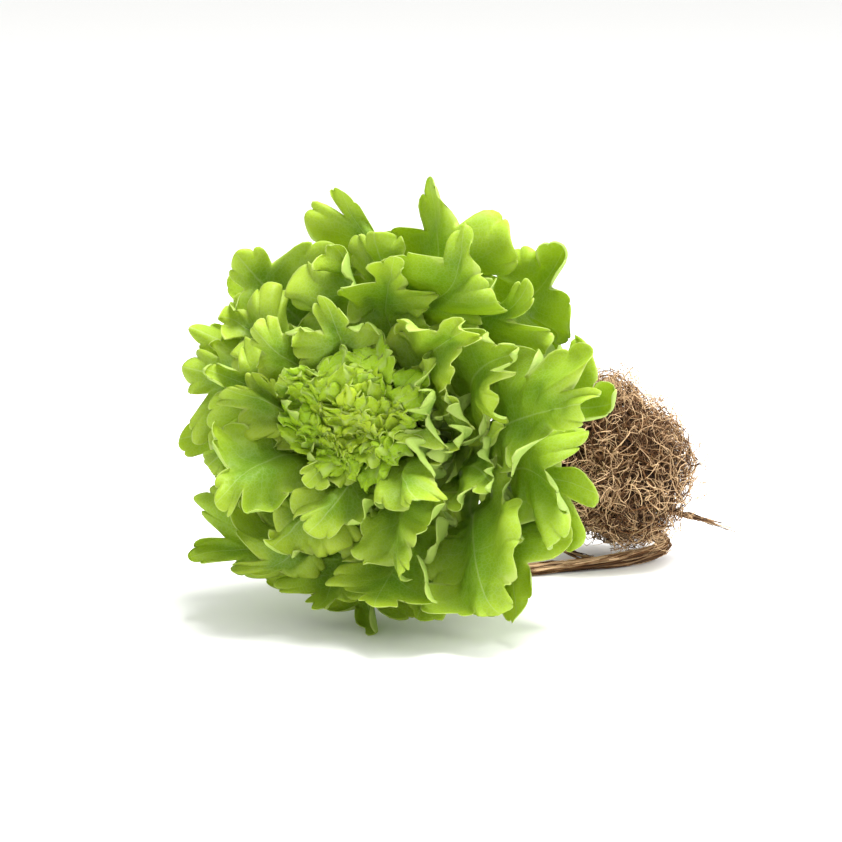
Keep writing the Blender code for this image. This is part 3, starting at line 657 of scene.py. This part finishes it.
def leafPlaces(leaf, phase, v):
    # places for a rib of this phase, at v across from -1 to 1, with what the looks need
    age = leaf["age"]
    right = v >= 0
    across = np.abs(v)
    lobed = 1 - smooth(leaves["lobes"] - 0.5, leaves["lobes"], phase)
    (flatX, flatY), rib = flatPlace(leaf, phase, right, across)

    # the rib turns with the fifth power of its way out, so that the lobe's edge rolls over: the series of the
    # cosine and the sine of that turn, added up along it
    room = [np.interp(flatX, leaf["layer"]["runs"], leaf["room"][side]) for side in (-1, 1)]
    curl = alongLobes(leaf["curls"], right, phase)
    curl = np.sign(curl) * np.abs(curl) ** 0.6 * lobed * leaf["roll"] * leaves["roll"]
    bend = 6 * curl * np.where(curl < 0, room[0], room[1]) / rib
    bend = np.clip(bend, -leaves["sharpest"], leaves["sharpest"])
    reach = across - bend**2 * across**11 / 22 + bend**4 * across**21 / 504
    rise = bend * across**6 / 6 - bend**3 * across**16 / 96 + bend**5 * across**26 / 3120

    (x, y), rib = flatPlace(leaf, phase, right, reach)
    y = y * np.sign(v)
    wayAlong = x / leaf["layer"]["length"]
    radius, height, inwardRadius, inwardHeight = layerAt(leaf["layer"], x)
    y = y + leaf["sway"] * wayAlong**2 * leaf["length"] * 0.5
    wrap = leaves["widestWrap"] * np.tanh(y / (radius * leaves["widestWrap"]))
    phi = leaf["azimuth"] + wrap
    lift = ruffle(leaf, phi, wayAlong, radius) + rise * rib

    # the whole leaf leans, and each lobe is cupped and twisted, as far as the room beside it allows
    cup = leaves["cup"] * alongLobes(leaf["cups"], right, phase) * across**1.3 * np.sin(math.pi * phase) ** 2
    cup = cup * lobed * leaf["roll"] + leaf["lean"] * leaf["roll"] * smooth(0.3, 1.0, wayAlong)
    twist = leaves["twist"] * alongLobes(leaf["twists"], right, phase) * np.sign(v)
    cup = cup + twist * np.sin(2 * math.pi * phase) * across**1.5 * lobed * leaf["roll"]
    lift = lift + cup * np.where(cup < 0, room[0], room[1])

    # small blisters between the veins, and a frilled margin whose scallops stand up from their notches
    fold = mix(*leaves["puckerSize"], age)
    start = 9 * leaf["tone"]
    pucker = mix(*leaves["pucker"], age) * np.sin(math.pi * across) * smooth(0.25, 0.6, wayAlong)
    lengthwise = np.sin(flatX / fold + start + 0.7 * np.sin(flatY / fold))
    lift = lift + pucker * lengthwise * np.sin(1.15 * flatY / fold - start)
    wave = mix(*leaves["frillWave"], age ** leaves["frillQuickness"]) * lobed * across**4
    lift = lift + wave * (0.6 * np.sin(5 * math.pi * phase + start) + np.cos(6 * math.pi * phase) * across**2)
    radius = radius + lift * inwardRadius
    height = height + lift * inwardHeight
    places = np.stack((radius * np.cos(phi), radius * np.sin(phi), height), axis=1)
    margin = fromMargin(leaf, phase, right, across)
    looks = {
        # the share across the leaf also sets where the painted shade near the midrib falls
        "leafPlace": np.stack((phase, across, wayAlong), axis=1),
        "leafSize": np.stack((margin * 1000, flatY * 1000, np.full(len(v), leaf["depth"])), axis=1),
        "leafTone": np.full(len(v), leaf["tone"]),
    }
    return places, looks


def pressed(leaf, places):
    # places moved up, along the lying head's vertical, where the ground would be in their way
    up = np.array((0, math.cos(laid["tilt"]), math.sin(laid["tilt"])))
    step = leaves["groundStep"] * max(0, leaf["index"] - leaves["lowestLeaf"])
    softness = leaves["groundSoftness"]
    above = laid["axisHeight"] + places @ up - step
    clear = 8 * softness
    eased = softness * np.log1p(np.exp(np.minimum(above, clear) / softness))
    lifted = np.where(above > clear, above, eased)
    return places + (lifted - above)[:, None] * up


def leafRows():
    # the phases of the ribs from the stem to the tip: evenly on the stalk, then closer at veins and notches
    steps = lobeSteps + (0.5,) + tuple(1 - step for step in reversed(lobeSteps[1:]))
    phases = [lobe + step for lobe in range(math.ceil(leaves["lobes"])) for step in steps]
    rows = [phase for phase in phases if phase < leaves["lobes"]]
    stalk = leaves["lobes"] + np.linspace(0, 1, leaves["stalkRows"])
    return np.array(sorted(list(stalk) + rows, reverse=True))


def buildLeaf(index, materials):
    leaf = makeLeaf(index)
    rowPlaces = leafRows()
    columnPlaces = np.array([-c for c in reversed(halfColumns[1:])] + list(halfColumns))
    mesh, column, row, copy = gridMesh(f"leafBlade{index + 1:02d}", len(columnPlaces), len(rowPlaces))
    v = columnPlaces[column]
    places, looks = leafPlaces(leaf, rowPlaces[row], v)
    setPlaces(mesh, laidDown(pressed(leaf, warped(places))))
    for name, values in looks.items():
        setAttribute(mesh, name, values)

    # thick along the midrib, which thins out towards the tip, and thinnest at the margin
    fromMidrib = looks["leafSize"][:, 1]
    wayAlong = looks["leafPlace"][:, 2]
    ribWidth = mix(*leaves["ribWidth"], np.clip(wayAlong, 0, 1))
    ridge = np.exp(-((fromMidrib / ribWidth) ** 2)) * mix(1.0, 0.04, smooth(0.0, 0.85, wayAlong))
    thinnest = leaves["bladeThickness"] / leaves["ribThickness"]
    margin = 1 - leaves["marginThinning"] * smooth(0.85, 1.0, np.abs(v))
    setAttribute(mesh, "thickness", thinnest * margin + (1 - thinnest) * ridge)
    sewn(mesh)
    piece = addPiece(mesh, materials, [f"leaf_{index + 1:02d}"])
    group = piece.vertex_groups.new(name="thickness")
    for number, weight in enumerate(getAttribute(mesh, "thickness")):
        group.add([number], float(weight), "REPLACE")
    solid = piece.modifiers.new("blade", "SOLIDIFY")
    solid.thickness = leaves["ribThickness"]
    solid.offset = 1.0
    solid.vertex_group = group.name
    solid.material_offset = 1
    solid.material_offset_rim = 0


upperLeaf = leafMaterial("upper face of a living leaf", "upper")
underLeaf = leafMaterial("underside of a living leaf", "under")
heartLeaf = leafMaterial("young living leaf", "heart")
for index in range(leaves["count"]):
    buildLeaf(index, [underLeaf, upperLeaf])
print("leaves made")

# The heart: many small, finely frilled leaves that hide the growing tip
heart = {
    "count": 92,
    "depths": (0.80, 0.99),
    "depthQuickness": 0.8,
    "azimuthSpread": 0.4,
    "reachSpread": (0.91, 1.04),
    "start": 0.70,
    "halfWidth": (0.0130, 0.0080),
    "widthSpread": (0.8, 1.2),
    "footWidth": 0.30,
    "corners": 0.28,
    "turns": (7.0, 11.0),
    "scallop": 0.040,
    "frill": 0.0017,
    "fineFrill": 0.0009,
    "crumple": (
        {"pitch": 0.0075, "reach": 0.0021, "count": 7},
        {"pitch": 0.0042, "reach": 0.0013, "count": 7},
    ),
    "rollOut": (0.9, 2.2),
    "rollVariation": 0.35,
    "rollLift": 0.55,
    "arch": 0.25,
    "thickness": 0.0005,
    "columns": 31,
    "rows": 15,
    "rowQuickness": 0.7,
}

# The pale growing tip inside the heart, from its foot up. It is built a little slimmer than its solid, and
# the feet of the heart's leaves stay well inside it.
core = {
    "radii": (0.0030, 0.0045, 0.0065, 0.0100, 0.0120, 0.0060),
    "heights": (0.052, 0.075, 0.105, 0.128, 0.142, 0.150),
    "slimness": 0.9,
    "footShare": 0.6,
    "rows": 16,
    "sides": 24,
}


def buildHeart():
    count = heart["count"]
    mesh, column, row, copy = gridMesh("heartFrills", heart["columns"], heart["rows"], count)
    v = column / (heart["columns"] - 1) * 2 - 1
    u = (row / (heart["rows"] - 1)) ** heart["rowQuickness"]
    places = np.empty((len(u), 3))
    fromEdge = np.empty(len(u))
    tones = np.empty(len(u))
    youths = np.empty(len(u))
    for number in range(count):
        draw = random.Random(seed * 5000 + number)
        share = number / (count - 1)
        layer = makeLayer(mix(*heart["depths"], share ** heart["depthQuickness"]))
        own = copy == number
        across, along = v[own], u[own]
        off = draw.uniform(-heart["azimuthSpread"], heart["azimuthSpread"])
        azimuth = (leaves["count"] + number) * goldenAngle + off
        phase = draw.uniform(0, math.tau)
        reach = draw.uniform(*heart["reachSpread"])
        turns = draw.uniform(*heart["turns"])
        halfWidth = mix(*heart["halfWidth"], share) * draw.uniform(*heart["widthSpread"])

        # scalloped, with rounded corners, and rolled outwards, turning with the fourth power of the way along
        scallop = heart["scallop"] * (1 - np.abs(np.cos(turns * across + phase)) ** 0.6)
        rounded = heart["corners"] * np.abs(across) ** 2.5
        length = layer["length"] * (1 - heart["start"]) * reach * (1 - (scallop + rounded) * along**2)
        variation = 1 + heart["rollVariation"] * np.sin(turns * 0.5 * across + 2 * phase)
        roll = -draw.uniform(*heart["rollOut"]) * variation
        forward = along - roll**2 * along**9 / 18 + roll**4 * along**17 / 408
        rise = roll * along**5 / 5 - roll**3 * along**13 / 78
        x = layer["length"] * heart["start"] + length * forward
        radius, height, inwardRadius, inwardHeight = layerAt(layer, x)
        inside = core["footShare"] * np.interp(height, core["heights"], core["radii"])
        radius = mix(np.minimum(radius, inside), radius, smooth(0, 0.4, along))
        width = halfWidth * mix(heart["footWidth"], 1.0, along**0.7)
        sideways = across * width
        frill = heart["frill"] * along**3 * (0.7 + 0.3 * np.abs(across)) * np.sin(turns * across + phase)
        fine = np.sin(15 * along + 2 * phase) * np.sin(17 * across - 2 * phase)
        lift = frill + heart["fineFrill"] * along**3 * fine + length * rise * heart["rollLift"]
        radius = radius + lift * inwardRadius - heart["arch"] * sideways**2 / width * along
        height = height + lift * inwardHeight
        outX, outY = math.cos(azimuth), math.sin(azimuth)
        placeX, placeY = outX * radius - outY * sideways, outY * radius + outX * sideways
        places[own] = np.stack((placeX, placeY, height), axis=1)
        fromEdge[own] = np.minimum((1 - along) * 25, (1 - np.abs(across)) * width * 1000)
        tones[own] = draw.uniform(-1, 1)
        youths[own] = share
    draw = np.random.default_rng(seed * 6000)
    crumpled = places.copy()
    for wave in heart["crumple"]:
        crumpled += u[:, None] ** 2 * sharedWaves(places, draw, wave["pitch"], wave["reach"], wave["count"])
    setPlaces(mesh, laidDown(warped(crumpled)))
    # the way along each small leaf stands where the share across would, so the painted shade darkens its foot
    # deep in the heart
    setAttribute(mesh, "leafPlace", np.stack((v * 1.5, u, np.full(len(u), 0.7)), axis=1))
    setAttribute(mesh, "leafSize", np.stack((fromEdge, np.abs(v) * 8, youths), axis=1))
    setAttribute(mesh, "leafTone", tones)
    piece = addPiece(mesh, [heartLeaf, heartLeaf], ["heart"])
    solid = piece.modifiers.new("blade", "SOLIDIFY")
    solid.thickness = heart["thickness"]
    solid.offset = 0.0


def tubeMesh(name, sides, rows, copies=1):
    # closed tubes in one mesh, with the row, the angle round the tube and the copy of each vertex
    shape = bmesh.new()
    bmesh.ops.create_cone(shape, cap_ends=True, segments=sides, radius1=1.0, radius2=1.0, depth=1.0)
    lengthwise = [edge for edge in shape.edges if abs(edge.verts[0].co.z - edge.verts[1].co.z) > 0.5]
    bmesh.ops.subdivide_edges(shape, edges=lengthwise, cuts=rows - 2, use_grid_fill=True)
    mesh = bpy.data.meshes.new(name)
    shape.to_mesh(mesh)
    single = len(mesh.vertices)
    for copy in range(copies - 1):
        shape.from_mesh(mesh)
    shape.to_mesh(mesh)
    shape.free()
    unit = readPlaces(mesh)
    row = np.rint((unit[:, 2] + 0.5) * (rows - 1)).astype(int)
    return mesh, row, np.arctan2(unit[:, 1], unit[:, 0]), np.arange(len(unit)) // single


def tubePlaces(lines, radii, row, angle, copy):
    # the places of tubes of these radii along lines, both given for each copy and row
    ways = np.gradient(lines, axis=1)
    ways /= np.linalg.norm(ways, axis=2, keepdims=True) + 1e-12
    helper = np.where(np.abs(ways[:, :1, 2:]) < 0.8, np.array((0.0, 0.0, 1.0)), np.array((1.0, 0.0, 0.0)))
    aside = np.empty_like(lines)
    before = np.broadcast_to(helper, ways[:, :1].shape)[:, 0]
    for k in range(lines.shape[1]):
        before = before - np.sum(before * ways[:, k], axis=1, keepdims=True) * ways[:, k]
        before = before / (np.linalg.norm(before, axis=1, keepdims=True) + 1e-12)
        aside[:, k] = before
    over = np.cross(ways, aside)
    outward = aside[copy, row] * np.cos(angle)[:, None] + over[copy, row] * np.sin(angle)[:, None]
    return lines[copy, row] + outward * radii[copy, row][:, None]


def buildHeartCore():
    rows = core["rows"]
    heights = np.linspace(core["heights"][0], core["heights"][-1], rows)
    lines = np.stack((np.zeros(rows), np.zeros(rows), heights), axis=1)[None]
    radii = np.interp(heights, core["heights"], core["radii"])[None]
    mesh, row, angle, copy = tubeMesh("heartCore", core["sides"], rows)
    places = tubePlaces(lines, radii * core["slimness"], row, angle, copy)
    setPlaces(mesh, laidDown(warped(places)))
    setAttribute(mesh, "leafPlace", np.tile((0.25, 0.5, 0.5), (len(row), 1)))
    setAttribute(mesh, "leafSize", np.tile((9.0, 9.0, 0.9), (len(row), 1)))
    setAttribute(mesh, "leafTone", np.zeros(len(row)))
    addPiece(mesh, [heartLeaf])


buildHeart()
buildHeartCore()
print("heart made")

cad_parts["stem"].material_slots[0].material = stemMaterial()

# The roots, in the frame of the laid plant before its shift
roots = {
    "centre": (0.066, 0.064, 0.055),
    "size": (0.043, 0.046, 0.053),
    "lumps": ((0.10, (2.3, -1.1, 1.9), 0.4), (0.08, (-1.6, 3.1, 2.2), 2.1), (0.05, (4.2, 2.6, -3.3), 4.0)),
    "hollow": ((-0.21, -0.31, -0.93), 0.62, 0.36),
    "core": 0.74,
    "fibrePoints": 18,
    "groundLift": (0.0010, 0.12),
}

# The roots of the ball, from its inside out: how far out they run, as a share of its size, how far round it
# they go, in radians, how much they curl and how light they are
tangles = {
    "rootTangleInner": {
        "count": 1150, "radius": 0.00046, "curl": 0.0026,
        "share": (0.66, 0.92), "arc": (0.5, 1.3), "tone": (0.0, 0.4),
    },
    "rootTangleOuter": {
        "count": 1500, "radius": 0.00030, "curl": 0.0038,
        "share": (0.82, 1.05), "arc": (0.4, 1.2), "tone": (0.02, 1.05),
    },
    "rootHalo": {
        "count": 400, "radius": 0.00019, "curl": 0.0056,
        "share": (0.95, 1.20), "arc": (0.25, 0.8), "tone": (0.55, 1.1),
    },
}

# The thick neck between the stem and the ball
neck = {
    "line": (
        (0, 0.00615, 0.07824), (0, 0.01442, 0.07587), (0.011, 0.028, 0.0715), (0.031, 0.043, 0.064),
        (0.054, 0.058, 0.056),
    ),
    "radii": (0.0125, 0.0115, 0.0090, 0.0080, 0.0060),
    "points": 24,
    "sides": 20,
    "woodShare": 0.86,
    "coverRadius": 0.0078,
    "coverFibres": 110,
    "fibreRadius": 0.0007,
}

# The bundle that lies on the ground, its second strand, the one that meets it and the free rootlet
strands = (
    {"radius": 0.0034, "line": (
        (0.080, 0.070, 0.022), (0.100, 0.078, 0.010), (0.088, 0.060, 0.0040), (0.064, 0.036, 0.0035),
        (0.040, 0.012, 0.003), (0.014, -0.008, 0.0025), (-0.010, -0.022, 0.002),
    )},
    {"radius": 0.0026, "line": (
        (0.084, 0.064, 0.024), (0.103, 0.070, 0.013), (0.082, 0.047, 0.007), (0.056, 0.024, 0.005),
        (0.034, 0.003, 0.005), (0.016, -0.018, 0.002),
    )},
    {"radius": 0.0023, "line": (
        (0.036, 0.044, 0.060), (0.032, 0.032, 0.040), (0.040, 0.030, 0.022), (0.056, 0.040, 0.008),
        (0.066, 0.046, 0.005),
    )},
    {"radius": 0.0020, "line": (
        (0.082, 0.070, 0.046), (0.100, 0.086, 0.030), (0.112, 0.094, 0.024), (0.136, 0.110, 0.0145),
    )},
)

# The thin roots that each strand is made of: how many a strand of fibresRadius has, and how many random
# numbers pass unused before the first of them
bundles = {
    "skippedDraws": 3840,
    "samples": 60,
    "points": 24,
    "fibres": 62,
    "fibresRadius": 0.0030,
    "fibreShare": 0.15,
    "waveShare": 0.34,
}


def splineLine(places, count):
    # points spread along a smooth line through the places
    places = [np.array(place, float) for place in places]
    out = []
    for n in range(count):
        s = n / (count - 1) * (len(places) - 1)
        k = min(len(places) - 2, int(s))
        f = s - k
        a, b, c, d = (places[min(len(places) - 1, max(0, j))] for j in (k - 1, k, k + 1, k + 2))
        square, cube = 2 * a - 5 * b + 4 * c - d, 3 * b - a - 3 * c + d
        out.append(0.5 * (2 * b + (c - a) * f + square * f**2 + cube * f**3))
    return np.array(out)


def aboveGround(places):
    # keeps what would sink below the ground just above it
    lift, share = roots["groundLift"]
    low = lift + share * (places[..., 2] + 0.01)
    places[..., 2] = np.maximum(places[..., 2], np.maximum(low, 0.0006))
    return places


def unitVectors(draw, count):
    ways = draw.normal(size=(count, 3))
    return ways / np.linalg.norm(ways, axis=1, keepdims=True)


def waves(draw, count, points, size, tightness):
    # soft random waves in all three directions along a set of lines
    s = np.linspace(0, 1, points)[None, :, None]
    total = np.zeros((count, points, 3))
    for number in range(3):
        pitch = draw.uniform(tightness[0], tightness[1], (count, 1, 3))
        start = draw.uniform(0, math.tau, (count, 1, 3))
        total += draw.uniform(0.3, 1.0, (count, 1, 3)) * np.sin(math.tau * pitch * s + start)
    return total * size * 0.6


def lumpy(ways):
    # how far the ball reaches in each direction, as a share of its size
    reach = 1 + sum(size * np.sin(ways @ np.array(turn) + start) for size, turn, start in roots["lumps"])
    middle, width, depth = roots["hollow"]
    return reach * (1 - depth * np.exp(-(np.sum((ways - np.array(middle)) ** 2, axis=-1) / width**2)))


def ballLines(kind, draw):
    # roots that run round the ball, each on its own level and curling as it goes
    count, points = kind["count"], roots["fibrePoints"]
    start = unitVectors(draw, count)
    other = np.cross(start, unitVectors(draw, count))
    other /= np.linalg.norm(other, axis=1, keepdims=True)
    turn = (draw.uniform(*kind["arc"], (count, 1)) * np.linspace(-0.5, 0.5, points)[None])[..., None]
    ways = start[:, None] * np.cos(turn) + other[:, None] * np.sin(turn)
    level = draw.uniform(*kind["share"], (count, 1, 1)) + 0.05 * draw.uniform(-1, 1, (count, 1, 1)) * turn
    level = level * lumpy(ways)[..., None]
    lines = np.array(roots["centre"]) + ways * np.array(roots["size"]) * level
    lines = lines + waves(draw, count, points, kind["curl"], (0.7, 3.2))
    return aboveGround(lines)


def bundleLines(places, radius, count, points, draw):
    # roots that run together along a line, twisting round each other and ending at different lengths
    base = splineLine(places, bundles["samples"])
    t = np.linspace(0, 1, bundles["samples"])
    start = draw.uniform(-0.05, 0.35, (count, 1)).clip(0)
    end = draw.uniform(0.60, 1.05, (count, 1)).clip(None, 1)
    s = start + (end - start) * np.linspace(0, 1, points)[None]
    lines = np.stack([np.interp(s, t, base[:, k]) for k in range(3)], axis=2)
    spin = draw.uniform(0, math.tau, (count, 1)) + draw.uniform(2, 6, (count, 1)) * s
    off = radius * draw.uniform(0.15, 1.0, (count, 1)) ** 0.6 * mix(1.15, 0.75, s)
    ways = np.gradient(base, axis=0)
    ways /= np.linalg.norm(ways, axis=1, keepdims=True)
    way = np.stack([np.interp(s, t, ways[:, k]) for k in range(3)], axis=2)
    level = np.cross(way, np.array((0, 0, 1.0)))
    level /= np.linalg.norm(level, axis=2, keepdims=True) + 1e-9
    over = np.cross(level, way)
    lines = lines + off[..., None] * (np.cos(spin)[..., None] * level + np.sin(spin)[..., None] * over)
    return lines + waves(draw, count, points, radius * bundles["waveShare"], (1.0, 4.0))


def fibrePiece(name, lines, thickness, tones, material):
    # one mesh of thin three-sided roots, each tapering to both its ends
    count, points = lines.shape[:2]
    mesh, row, angle, copy = tubeMesh(name, 3, points, count)
    s = np.linspace(-1, 1, points)[None]
    radii = thickness[:, None] * (1 - 0.65 * np.abs(s) ** 3)
    places = tubePlaces(lines, radii, row, angle, copy)
    places[:, 2] = np.maximum(places[:, 2], 0.0001)
    setPlaces(mesh, places + np.array(laid["shift"]))
    setAttribute(mesh, "fibreTone", tones[copy])
    addPiece(mesh, [material])


def buildBall(fibre, draw):
    # the matted middle of the ball, and the roots tangled round it
    soil = rootMaterial("damp root mat", "soil")
    mat = bmesh.new()
    bmesh.ops.create_icosphere(mat, subdivisions=5, radius=1.0)
    mesh = bpy.data.meshes.new("rootMat")
    mat.to_mesh(mesh)
    mat.free()
    ways = readPlaces(mesh).astype(float)
    rough = 0.02 * np.sin(19 * ways[:, 0] + 3) * np.sin(23 * ways[:, 1]) * np.sin(21 * ways[:, 2] + 1)
    level = (roots["core"] * lumpy(ways) + rough)[:, None]
    places = aboveGround(np.array(roots["centre"]) + ways * np.array(roots["size"]) * level)
    setPlaces(mesh, places + np.array(laid["shift"]))
    setAttribute(mesh, "fibreTone", np.full(len(ways), 0.35))
    addPiece(mesh, [soil], ["roots"])
    for name, kind in tangles.items():
        lines = ballLines(kind, draw)
        thickness = kind["radius"] * draw.uniform(0.7, 1.3, kind["count"])
        fibrePiece(name, lines, thickness, draw.uniform(*kind["tone"], kind["count"]), fibre)


def buildNeck(fibre):
    # the woody middle of the neck
    points = neck["points"]
    line = splineLine(neck["line"], points)
    knots = np.linspace(0, 1, len(neck["radii"]))
    radii = np.interp(np.linspace(0, 1, points), knots, neck["radii"])
    mesh, row, angle, copy = tubeMesh("rootNeck", neck["sides"], points)
    gnarl = 1 + 0.05 * np.sin(3 * angle + 0.5 * row) + 0.04 * np.sin(7 * angle - 0.9 * row)
    places = tubePlaces(line[None], radii[None] * neck["woodShare"], row, angle, copy)
    middle = line[row]
    setPlaces(mesh, middle + (places - middle) * gnarl[:, None] + np.array(laid["shift"]))
    setAttribute(mesh, "fibreTone", np.full(len(row), 0.45))
    addPiece(mesh, [fibre])


def buildStrands(fibre, draw):
    # the loose strands and the roots that run down over the neck, as bundles of thin roots
    lines = []
    thickness = []
    for strand in strands:
        radius = strand["radius"]
        count = int(bundles["fibres"] * radius / bundles["fibresRadius"])
        lines.append(bundleLines(strand["line"], radius, count, bundles["points"], draw))
        thickness.append(radius * bundles["fibreShare"] * draw.uniform(0.5, 1.6, count))
    count = neck["coverFibres"]
    lines.append(bundleLines(neck["line"], neck["coverRadius"], count, bundles["points"], draw))
    thickness.append(neck["fibreRadius"] * draw.uniform(0.6, 1.5, count))
    lines = np.concatenate(lines)
    thickness = np.concatenate(thickness)
    lines[..., 2] = np.maximum(lines[..., 2], thickness[:, None] * 0.8)
    fibrePiece("rootStrands", lines, thickness, draw.uniform(0.1, 1.1, len(thickness)), fibre)


rootFibre = rootMaterial("dry fibrous root", "fibre")
rootDraw = np.random.default_rng(seed * 9000)
buildBall(rootFibre, rootDraw)
buildNeck(rootFibre)
rootDraw.bit_generator.advance(bundles["skippedDraws"])
buildStrands(rootFibre, rootDraw)
print("roots made")

# Floor, light and camera
stage = {
    "floor": "#F4F4F2",
    "sky": "#FFFFFF",
    "skyStrength": 1.0,
    "lampAim": (0.0, 0.0, 0.1),
    "lamps": {
        "key": {"place": (0.36, 0.14, 2.0), "size": 1.1, "power": 76.0},
        "fill": {"place": (1.45, 0.10, 0.9), "size": 1.0, "power": 15.0},
    },
}


def buildStage():
    ground = bmesh.new()
    bmesh.ops.create_grid(ground, x_segments=1, y_segments=1, size=12.0)
    mesh = bpy.data.meshes.new("floor")
    ground.to_mesh(mesh)
    ground.free()
    floor = bpy.data.objects.new("floor", mesh)
    bpy.context.scene.collection.objects.link(floor)
    made = newMaterial("plain matt floor")
    grain = addNode(made, "ShaderNodeTexNoise", {}, {"Scale": 8.0, "Detail": 2.0})
    rough = addNode(made, "ShaderNodeMapRange", {}, {0: grain.outputs["Fac"], 3: 0.80, 4: 0.90}).outputs[0]
    surface = {"Base Color": linear(stage["floor"]), "Roughness": rough}
    skin = addNode(made, "ShaderNodeBsdfPrincipled", {}, surface)
    addNode(made, "ShaderNodeOutputMaterial", {}, {"Surface": skin.outputs[0]})
    mesh.materials.append(made)
    world = bpy.data.worlds.new("studio")
    bpy.context.scene.world = world
    world.use_nodes = True
    sky = world.node_tree.nodes["Background"]
    sky.inputs["Color"].default_value = linear(stage["sky"])
    sky.inputs["Strength"].default_value = stage["skyStrength"]
    for name, own in stage["lamps"].items():
        light = bpy.data.lights.new(name, "AREA")
        light.shape = "DISK"
        light.size = own["size"]
        light.energy = own["power"]
        lamp = bpy.data.objects.new(name, light)
        lamp.location = own["place"]
        way = Vector(stage["lampAim"]) - lamp.location
        lamp.rotation_euler = way.to_track_quat("-Z", "Y").to_euler()
        bpy.context.scene.collection.objects.link(lamp)
    bpy.context.scene.view_settings.view_transform = "Standard"


view = {
    "azimuth": 24.0,
    "elevation": 12.0,
    "distance": 1.8,
    "aim": (0.0, 0.0, 0.122),
    "right": -0.011,
    "up": -0.0215,
    "width": 0.482,
}


def buildCamera():
    azimuth, elevation = math.radians(view["azimuth"]), math.radians(view["elevation"])
    level = math.cos(elevation)
    way = Vector((math.sin(azimuth) * level, -math.cos(azimuth) * level, math.sin(elevation)))
    rightWay = Vector((math.cos(azimuth), math.sin(azimuth), 0))
    aim = Vector(view["aim"]) + rightWay * view["right"] + way.cross(rightWay) * view["up"]
    lens = bpy.data.cameras.new("camera")
    lens.sensor_width = 36.0
    lens.lens = lens.sensor_width * view["distance"] / view["width"]
    lens.clip_start = 0.01
    camera = bpy.data.objects.new("camera", lens)
    camera.location = aim + way * view["distance"]
    camera.rotation_euler = (aim - camera.location).to_track_quat("-Z", "Y").to_euler()
    bpy.context.scene.collection.objects.link(camera)
    bpy.context.scene.camera = camera


buildStage()
buildCamera()
print("stage made")
